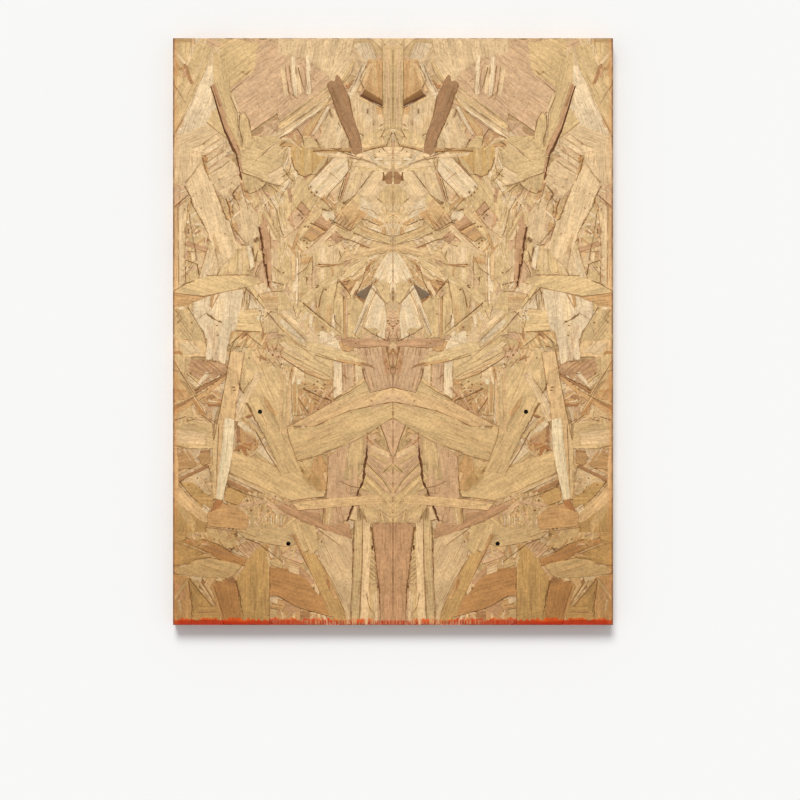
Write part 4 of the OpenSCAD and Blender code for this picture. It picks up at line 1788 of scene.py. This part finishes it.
@dataclass
class PanelBuilder:
    """Builds every piece of the panel: two half faces, the back, four sawn edges and the bores.

    Attributes:
        seed: Start of every random draw.
        hole_sides: Number of sides of a drilled hole.
        cut_strands: Strands to a millimetre of sawn edge.
        cut_gaps: Gaps between them to a millimetre.
        pieces: The finished pieces.
    """

    panel: Panel
    seed: int = 20
    hole_sides: int = 32
    cut_strands: float = 0.9
    cut_gaps: float = 0.22
    pieces: list[bpy.types.Object] = field(default_factory=list)

    def shaper(self, step: int, **settings: float) -> StrandShaper:
        """A shaper with its own repeatable randomness."""
        return StrandShaper(np.random.default_rng(self.seed + step), **settings)

    def upper_strands(self) -> list[Strand]:
        """The whole half face: random bed, listed strands, and holes.

        Returns:
            The strands in painter's order.
        """
        panel = self.panel
        shaper = self.shaper(1)
        size = (panel.half_width, panel.length)
        laid = UpperMat(shaper).lay()
        fill = RandomFill(shaper, size, (PALE, STRAW, TAN, HONEY, CREAM, PINK))
        bed = fill.sizes(UNDER_LAYERS)
        holes = [shaper.hole(place, panel.hole_d / 2, self.hole_sides) for place in panel.hole_rows]
        log.info("upper face: %d laid by hand, %d in the bed", len(laid), len(bed))
        return bed + laid + holes

    def faces(self) -> None:
        """The upper face as two mirrored halves, and the back in one piece."""
        panel = self.panel
        half = (panel.half_width, panel.length)
        mat = StrandMat(half, self.upper_strands(), arris=panel.arris,
                        arris_sides=(False, True, True, True), folds=2).build()
        y = -panel.length / 2
        right = Placement((0, y, panel.thickness), (1, 0, 0), (0, 1, 0), (0, 0, 1))
        left = Placement((0, y, panel.thickness), (-1, 0, 0), (0, 1, 0), (0, 0, 1))
        self.pieces.append(write_mesh("face_right", mat, right))
        self.pieces.append(write_mesh("face_left", mat, left))

        shaper = self.shaper(2)
        size = (panel.width, panel.length)
        fill = RandomFill(shaper, size, (PALE, STRAW, TAN, HONEY, BUFF, CREAM, PINK, ROSE, ORANGE))
        strands = fill.sizes(BACK_LAYERS)
        for u, v in panel.hole_rows:
            for side in (-1, 1):
                place = (panel.half_width + side * u, v)
                strands.append(shaper.hole(place, panel.hole_d / 2, self.hole_sides))
        back = StrandMat(size, strands, arris=panel.arris).build()
        under = Placement((-panel.half_width, y, 0), (1, 0, 0), (0, 1, 0), (0, 0, -1))
        self.pieces.append(write_mesh("back_face", back, under))

    def sawn_edges(self) -> None:
        """Four sawn edges, where the strands show as thin broken layers."""
        panel = self.panel
        x, y, a = panel.half_width, panel.length / 2, panel.arris
        sides = {
            "edge_marked": (panel.width, Placement((-x, -y, a), (1, 0, 0), (0, 0, 1), (0, -1, 0))),
            "edge_far": (panel.width, Placement((-x, y, a), (1, 0, 0), (0, 0, 1), (0, 1, 0))),
            "edge_left": (panel.length, Placement((-x, -y, a), (0, 1, 0), (0, 0, 1), (-1, 0, 0))),
            "edge_right": (panel.length, Placement((x, -y, a), (0, 1, 0), (0, 0, 1), (1, 0, 0))),
        }
        tones = (PALE, STRAW, TAN, HONEY, BUFF, CREAM, BROWN, ROSE, ORANGE, UMBER)
        for step, (name, (length, placement)) in enumerate(sides.items()):
            height = panel.thickness - 2 * a
            shaper = self.shaper(10 + step, side_wobble=0.05, end_wobble=0.15, end_step=1.0)
            fill = RandomFill(shaper, (length, height), tones, lean=0.0, spread=2.2)
            count, gap_count = int(length * self.cut_strands), int(length * self.cut_gaps)
            strands = fill.scatter(count, (14, 75), (0.9, 2.4), (-0.35, -0.02))
            # Voids between the cut layers, coloured dark brown: painted shade inside them.
            gaps = RandomFill(shaper, (length, height), (BARK, UMBER), lean=0.0, spread=5)
            for gap in gaps.scatter(gap_count, (2, 12), (0.25, 0.8), (-0.9, -0.6)):
                gap.kind = Kind.GAP
                strands.append(gap)
            mat = StrandMat((length, height), strands, bevel=0.12, bevel_from=0.0, groove=0.08,
                            bed_level=-0.4, arris=0.0, folds=6).build()
            self.pieces.append(write_mesh(name, mat, placement))

    def bores(self) -> None:
        """The walls of the drilled holes.

        Each wall is a surface of two parameters: the turn around the hole's axis, and the
        depth from just under the upper face to just above the back.
        """
        panel = self.panel
        n, rings, radius = self.hole_sides, 7, panel.hole_d / 2
        turn = 2 * math.pi * np.arange(n) / n
        depth = np.linspace(panel.thickness - MOUTH_DEPTH, MOUTH_DEPTH, rings)[:, None]
        i, j = np.meshgrid(np.arange(rings - 1), np.arange(n), indexing="ij")
        a, b = i * n + j, i * n + (j + 1) % n
        quads = np.stack([a, b, b + n, a + n], axis=-1).reshape(-1, 4)
        for row, (u, v) in enumerate(panel.hole_rows):
            for side, word in ((-1, "left"), (1, "right")):
                x = side * (u + radius * np.cos(turn))
                y = v - panel.length / 2 + radius * np.sin(turn)
                wall = np.stack(np.broadcast_arrays(x, y, depth), axis=-1).reshape(-1, 3) * MM
                mesh = bpy.data.meshes.new(f"bore_{row}_{word}")
                mesh.from_pydata(wall.tolist(), [], quads[:, ::side].tolist())
                piece = bpy.data.objects.new(mesh.name, mesh)
                bpy.context.scene.collection.objects.link(piece)
                self.pieces.append(piece)

    def build(self) -> list[bpy.types.Object]:
        """Builds every piece.

        Returns:
            The pieces.
        """
        self.faces()
        self.sawn_edges()
        self.bores()
        return self.pieces


class Shader:
    """A material's node tree, with short calls that add and join nodes."""

    def __init__(self, name: str) -> None:
        """Starts an empty node tree with its output.

        Args:
            name: The material's name.
        """
        self.material = bpy.data.materials.new(name)
        self.material.use_nodes = True
        self.tree = self.material.node_tree
        self.tree.nodes.clear()
        self.output = self.tree.nodes.new("ShaderNodeOutputMaterial")

    def add(self, kind: str, inputs: dict | None = None, **settings: str) -> bpy.types.Node:
        """Adds a node, sets its properties and fills its inputs.

        Args:
            kind: The node's type without the words ShaderNode.
            inputs: Values or sockets by input name or number.
            settings: Properties of the node.

        Returns:
            The node.
        """
        node = self.tree.nodes.new("ShaderNode" + kind)
        for key, value in settings.items():
            setattr(node, key, value)
        for key, value in (inputs or {}).items():
            if isinstance(value, Socket):
                self.tree.links.new(value, node.inputs[key])
            else:
                node.inputs[key].default_value = value
        return node

    def math(self, operation: str, *values: Socket | float) -> Socket:
        """One step of arithmetic."""
        return self.add("Math", dict(enumerate(values)), operation=operation).outputs[0]

    def noise(self, vector: Socket, scale: float, detail: float = 2.0,
              roughness: float = 0.5) -> Socket:
        """Smooth noise from 0 to 1."""
        inputs = {"Vector": vector, "Scale": scale, "Detail": detail, "Roughness": roughness}
        return self.add("TexNoise", inputs).outputs["Fac"]

    def span(self, value: Socket, low: float, high: float, out_low: float = 0.0,
             out_high: float = 1.0) -> Socket:
        """Maps one range to another, clamped, with a soft start and end."""
        inputs = {"Value": value, "From Min": low, "From Max": high, "To Min": out_low,
                  "To Max": out_high}
        return self.add("MapRange", inputs, interpolation_type="SMOOTHSTEP").outputs["Result"]

    def scaled(self, vector: Socket, scale: Triple) -> Socket:
        """A vector multiplied by three numbers."""
        return self.add("VectorMath", {0: vector, 1: scale}, operation="MULTIPLY").outputs[0]

    def product(self, *values: Socket | float) -> Socket:
        """Multiplies numbers one after the other.

        Args:
            values: The numbers, the first of them from a node.

        Returns:
            Their product.
        """
        total = values[0]
        for value in values[1:]:
            total = self.math("MULTIPLY", total, value)
        return total

    def blend(self, factor: Socket | float, a: Socket | tuple, b: Socket | tuple,
              mode: str = "MIX") -> Socket:
        """Mixes two colours.

        Args:
            factor: Share of the second colour.
            a: The first colour.
            b: The second colour.
            mode: How they are mixed.

        Returns:
            The mixed colour.
        """
        node = self.add("Mix", data_type="RGBA", blend_type=mode)
        for socket, value in ((node.inputs[0], factor), (node.inputs[6], a), (node.inputs[7], b)):
            if isinstance(value, Socket):
                self.tree.links.new(value, socket)
            else:
                socket.default_value = value
        return node.outputs[2]

    def finish(self, colour: Socket | tuple, roughness: Socket | float, gloss: float,
               normal: Socket | None = None) -> bpy.types.Material:
        """Adds the surface shader and returns the material.

        Args:
            colour: Base colour.
            roughness: Roughness.
            gloss: Plain specular level.
            normal: Normal from a bump, if there is one.

        Returns:
            The finished material.
        """
        inputs = {"Base Color": colour, "Roughness": roughness, "Specular IOR Level": gloss}
        if normal is not None:
            inputs["Normal"] = normal
        surface = self.add("BsdfPrincipled", inputs)
        self.tree.links.new(surface.outputs[0], self.output.inputs[0])
        return self.material


def rgb(colour: Triple) -> tuple[float, float, float, float]:
    """A display colour from 0 to 255 as linear light with full cover."""
    return (*linear(colour), 1.0)


@dataclass(frozen=True)
class StrandFinish:
    """Pressed wood strands: fibres, growth rings, pores, dark rims and sprayed paint, with painted
    shade in rims and recesses and a painted light gradient.

    Attributes:
        fibre: How far fibres lighten and darken the wood.
        rings: How far growth rings do.
        blotch: How far small blotches do.
        rim: Strength of the dark rim round a strand, partly resin and partly painted shade.
        paint_core: Colour of the thick paint.
        paint_fringe: Colour where it thins out.
        edge_y: Place of the painted edge, in metres.
        side_x: Place of a long edge.
        top_z: Height of the upper face.
        near_light_tint: Multiplier on the wood near the painted edge, part of the painted light
            gradient.
        far_light_tint: Multiplier beyond it, lighter: painted light.
        corner_shade_tint: Multiplier at the two corners by the painted edge, darker and browner:
            painted shade.
    """

    name: str = "pressed_strand_wood"
    fibre: float = 0.1
    rings: float = 0.05
    blotch: float = 0.13
    rim: float = 0.8
    paint_core: Triple = (180, 36, 0)
    paint_fringe: Triple = (222, 84, 16)
    edge_y: float = -0.3
    side_x: float = 0.225
    top_z: float = 0.018
    near_light_tint: Triple = (1.045, 1.035, 0.98)
    far_light_tint: Triple = (1.175, 1.225, 1.24)
    corner_shade_tint: Triple = (0.86, 0.80, 0.67)

    def build(self) -> bpy.types.Material:
        """Builds the material from each strand's own tone, grain direction and rim.

        Returns:
            The material of every face and edge.
        """
        s = Shader(self.name)
        tone = s.add("Attribute", attribute_name="tone").outputs["Color"]
        grain = s.add("Attribute", attribute_name="grain").outputs["Vector"]
        # Rim darkening and depth below the face: partly resin, partly painted shade.
        resin_and_shade = s.add("Attribute", attribute_name="resin_and_shade").outputs["Vector"]
        split = s.add("SeparateXYZ", {0: resin_and_shade})
        rim, deep = split.outputs[0], split.outputs[1]
        place = s.add("TexCoord").outputs["Object"]
        mirrored = s.add("VectorMath", {0: place}, operation="ABSOLUTE").outputs[0]
        across = s.add("SeparateXYZ", {0: mirrored}).outputs[0]
        where = s.add("SeparateXYZ", {0: place})
        even = s.add("CombineXYZ", {0: across, 1: where.outputs[1], 2: where.outputs[2]}).outputs[0]

        # Painted light gradient: lighter away from the painted edge, darker and browner at its two
        # corners.
        tone = s.blend(1.0, tone, self.painted_light(s, across, where), "MULTIPLY")
        streak = s.noise(s.scaled(grain, (45.0, 1000.0, 7.0)), 1.0, 3.0, 0.6)
        hair = s.noise(s.scaled(grain, (90.0, 2600.0, 9.0)), 1.0, 2.0, 0.6)
        band = s.noise(s.scaled(grain, (9.0, 230.0, 5.0)), 1.0, 2.0, 0.5)
        # A mottle inside each strand for the soft shading of warped strands: painted shade.
        shade_mottle = s.noise(s.scaled(grain, (30.0, 110.0, 4.0)), 1.0, 2.0, 0.55)
        veins = s.span(s.noise(s.scaled(grain, (55.0, 800.0, 6.0)), 1.0, 1.0), 0.6, 0.68)
        pores = s.span(s.noise(s.scaled(grain, (150.0, 2200.0, 3.0)), 1.0, 1.0), 0.66, 0.74)
        cloud = s.noise(even, 75.0, 4.0, 0.6)
        blot = s.noise(even, 330.0, 3.0, 0.65)
        speck = s.span(s.noise(even, 520.0, 2.0, 0.6), 0.64, 0.72)

        # Multiplier of the fibres, rings, random mottles and the painted shade mottle.
        light = s.product(
            s.span(streak, 0.3, 0.7, 1 - self.fibre, 1 + self.fibre),
            s.span(hair, 0.3, 0.7, 0.95, 1.07),
            s.span(band, 0.35, 0.65, 1 - self.rings, 1 + self.rings),
            s.span(cloud, 0.3, 0.7, 0.94, 1.08),
            s.span(shade_mottle, 0.3, 0.7, 0.9, 1.1),
            s.span(blot, 0.3, 0.7, 1 - self.blotch, 1 + self.blotch),
        )
        grey = s.add("CombineColor", {0: light, 1: light, 2: light}).outputs[0]
        colour = s.blend(1.0, tone, grey, "MULTIPLY")
        # The dark rim round each strand, broken by noise: partly resin, partly painted shade.
        broken_rim = s.product(rim, s.span(s.noise(even, 70.0, 2.0), 0.36, 0.62, 0.12, 1.0))
        # Each mask, how strongly it shows, and its colour.
        marks = (
            (s.span(band, 0.5, 0.72), 0.14, (188, 132, 84)),
            (veins, 0.34, (140, 94, 54)),
            (pores, 0.42, (120, 78, 44)),
            (speck, 0.48, (110, 70, 42)),
            # Dark rim colour: partly resin, partly painted shade.
            (broken_rim, self.rim, (126, 86, 46)),
        )
        for mask, strength, mark in marks:
            colour = s.blend(s.product(mask, strength), colour, rgb(mark))
        # Darker towards (150, 104, 62) with depth below the face: painted shade in recesses, partly
        # resin.
        colour = s.blend(s.product(deep, 0.25), colour, rgb((150, 104, 62)), "MULTIPLY")
        colour = self.painted(s, colour, even, across, where)

        relief = s.math("ADD", s.product(streak, 0.6), s.product(hair, 0.3))
        relief = s.math("SUBTRACT", relief, s.product(pores, 0.5))
        bump = s.add("Bump", {"Height": relief, "Strength": 0.35, "Distance": 0.0004}).outputs[0]
        return s.finish(colour, s.span(streak, 0.3, 0.7, 0.72, 0.6), 0.15, bump)

    def painted_light(self, s: Shader, across: Socket, where: bpy.types.Node) -> Socket:
        """Painted light: lighter away from the paint, and darker and browner by its corners as
        painted shade.

        Args:
            s: The material's node tree.
            across: Distance from the middle plane.
            where: Separated place.

        Returns:
            A colour to multiply the wood by.
        """
        from_edge = s.math("SUBTRACT", where.outputs[1], self.edge_y)
        painted_light_share = s.span(from_edge, 0.16, 0.3)
        tint = s.blend(painted_light_share, (*self.near_light_tint, 1.0), (*self.far_light_tint, 1.0))
        painted_corner_shade = s.product(s.span(from_edge, 0.17, 0.03), s.span(across, 0.05, 0.2))
        return s.blend(painted_corner_shade, tint, (*self.corner_shade_tint, 1.0))

    def painted(self, s: Shader, colour: Socket, even: Socket, across: Socket,
                where: bpy.types.Node) -> Socket:
        """Sprays the marked edge orange, with a ragged fade onto the upper face, tints the upper
        face orange by the long edges, and darkens a thin line along them as painted shade.

        Args:
            s: The material's node tree.
            colour: The wood's colour.
            even: Mirrored place on the panel.
            across: Distance from the middle plane.
            where: Separated place.

        Returns:
            The painted colour.
        """
        from_edge = s.math("SUBTRACT", where.outputs[1], self.edge_y)
        ragged = s.noise(s.scaled(even, (1.0, 0.35, 1.0)), 170.0, 3.0, 0.7)
        patch = s.noise(even, 24.0, 1.0)
        ticks = s.span(s.noise(s.scaled(even, (600.0, 60.0, 60.0)), 1.0, 2.0), 0.4, 0.62)
        corner = s.span(across, 0.02, 0.16)
        reach = s.math("ADD", s.span(ragged, 0.3, 0.7, -0.0016, 0.0022), 0.0058)
        gaps = s.product(ticks, 0.75, s.math("SUBTRACT", 1.0, corner))
        strength = s.product(s.span(s.math("SUBTRACT", reach, from_edge), -0.0008, 0.0009),
                             s.span(where.outputs[2], 0.002, 0.012, 0.35, 1.0),
                             s.math("SUBTRACT", 0.92, gaps))
        fringe = s.math("ADD", from_edge, s.span(patch, 0.3, 0.7, -0.0012, 0.0012))
        hue = s.blend(s.span(fringe, 0.0022, 0.0058), rgb(self.paint_core), rgb(self.paint_fringe))
        hue = s.blend(s.span(ragged, 0.5, 0.7, 0.0, 0.5), hue, rgb((150, 40, 10)))
        colour = s.blend(strength, colour, hue)
        near_top = s.span(where.outputs[2], self.top_z - 0.004, self.top_z - 0.001)
        glow = s.product(s.span(across, self.side_x - 0.008, self.side_x - 0.002, 0.0, 0.4),
                         s.span(patch, 0.3, 0.7, 0.4, 1.0), near_top)
        colour = s.blend(glow, colour, rgb((214, 144, 84)))
        # A thin dark brown line along the long edges of the upper face: painted shade.
        rim = s.product(s.span(across, self.side_x - 0.0022, self.side_x - 0.0008, 0.0, 0.85),
                        s.span(s.noise(even, 90.0, 2.0), 0.35, 0.6, 0.55, 1.0), near_top)
        return s.blend(rim, colour, rgb((124, 78, 42)))


@dataclass(frozen=True)
class BoreFinish:
    """The torn wall of a drilled hole, darker than the sawn edges: partly torn end grain, partly
    painted shade inside the hole.
    """

    name: str = "bore_wood"

    def build(self) -> bpy.types.Material:
        """Builds layered dark wood, by height; the darkness is partly painted shade.

        Returns:
            The material of every bore.
        """
        s = Shader(self.name)
        place = s.add("TexCoord").outputs["Object"]
        layers = s.noise(s.scaled(place, (60.0, 60.0, 900.0)), 1.0, 3.0, 0.6)
        # Dark browns: partly torn end grain, partly painted shade inside the hole.
        colour = s.blend(s.span(layers, 0.3, 0.7), rgb((92, 60, 36)), rgb((160, 118, 76)))
        bump = s.add("Bump", {"Height": layers, "Strength": 0.5, "Distance": 0.0003}).outputs[0]
        return s.finish(colour, s.span(layers, 0.3, 0.7, 0.85, 0.7), 0.2, bump)


@dataclass(frozen=True)
class Studio:
    """Pale floor, soft level light and the camera above the panel.

    Attributes:
        sun_height: Height of the light over the floor, in degrees.
        lens: Focal length, in millimetres.
        frame_width: Width that the camera sees on the upper face, in metres.
        aim: Place that it looks straight down on.
    """

    floor_tone: Triple = (248, 248, 247)
    world_strength: float = 0.5
    sun_strength: float = 2.2
    sun_height: float = 46.0
    lens: float = 100.0
    frame_width: float = 0.818
    aim: Pair = (0.00716, -0.070)

    def build(self, top: float) -> None:
        """Adds floor, light and camera.

        Args:
            top: Height of the panel's upper face, in metres.
        """
        scene = bpy.context.scene
        reach = 6.0
        mesh = bpy.data.meshes.new("floor")
        corners = [(x * reach, y * reach, 0) for x, y in ((-1, -1), (1, -1), (1, 1), (-1, 1))]
        mesh.from_pydata(corners, [], [(0, 1, 2, 3)])
        floor = bpy.data.objects.new("floor", mesh)
        scene.collection.objects.link(floor)
        floor.data.materials.append(Shader("studio_floor").finish(rgb(self.floor_tone), 0.9, 0.0))

        world = bpy.data.worlds.new("studio")
        scene.world = world
        world.use_nodes = True
        background = world.node_tree.nodes["Background"]
        background.inputs[0].default_value = (1.0, 1.0, 1.0, 1.0)
        background.inputs[1].default_value = self.world_strength

        lamp = bpy.data.lights.new("window", "SUN")
        lamp.energy = self.sun_strength
        lamp.angle = math.radians(24)
        sun = bpy.data.objects.new("window", lamp)
        sun.rotation_euler = (-math.radians(90 - self.sun_height), 0.0, math.radians(8))
        scene.collection.objects.link(sun)

        lens = bpy.data.cameras.new("camera")
        lens.lens = self.lens
        lens.sensor_width = 36.0
        lens.clip_end = 50.0
        camera = bpy.data.objects.new("camera", lens)
        distance = self.frame_width * self.lens / lens.sensor_width
        camera.location = (*self.aim, top + distance)
        scene.collection.objects.link(camera)
        scene.camera = camera
        scene.view_settings.view_transform = "Standard"


def main() -> None:
    """Builds the panel, dresses it, sets the studio and reports every piece."""
    logging.basicConfig(level=logging.INFO, format="%(message)s")
    low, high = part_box("osb_board")
    size = (Vector(high) - Vector(low)) / MM
    panel = Panel(round(size.x, 3), round(size.y, 3), round(size.z, 3))
    pieces = PanelBuilder(panel).build()
    wood = StrandFinish(edge_y=low[1], side_x=high[0], top_z=high[2]).build()
    bore = BoreFinish().build()
    for piece in pieces:
        piece.data.materials.append(bore if piece.name.startswith("bore") else wood)
        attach(piece, "root")
        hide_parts("osb_board")
        log.info("%s: %d triangles", piece.name, len(piece.data.polygons))
    Studio().build(high[2])


if __name__ == "__main__":
    main()
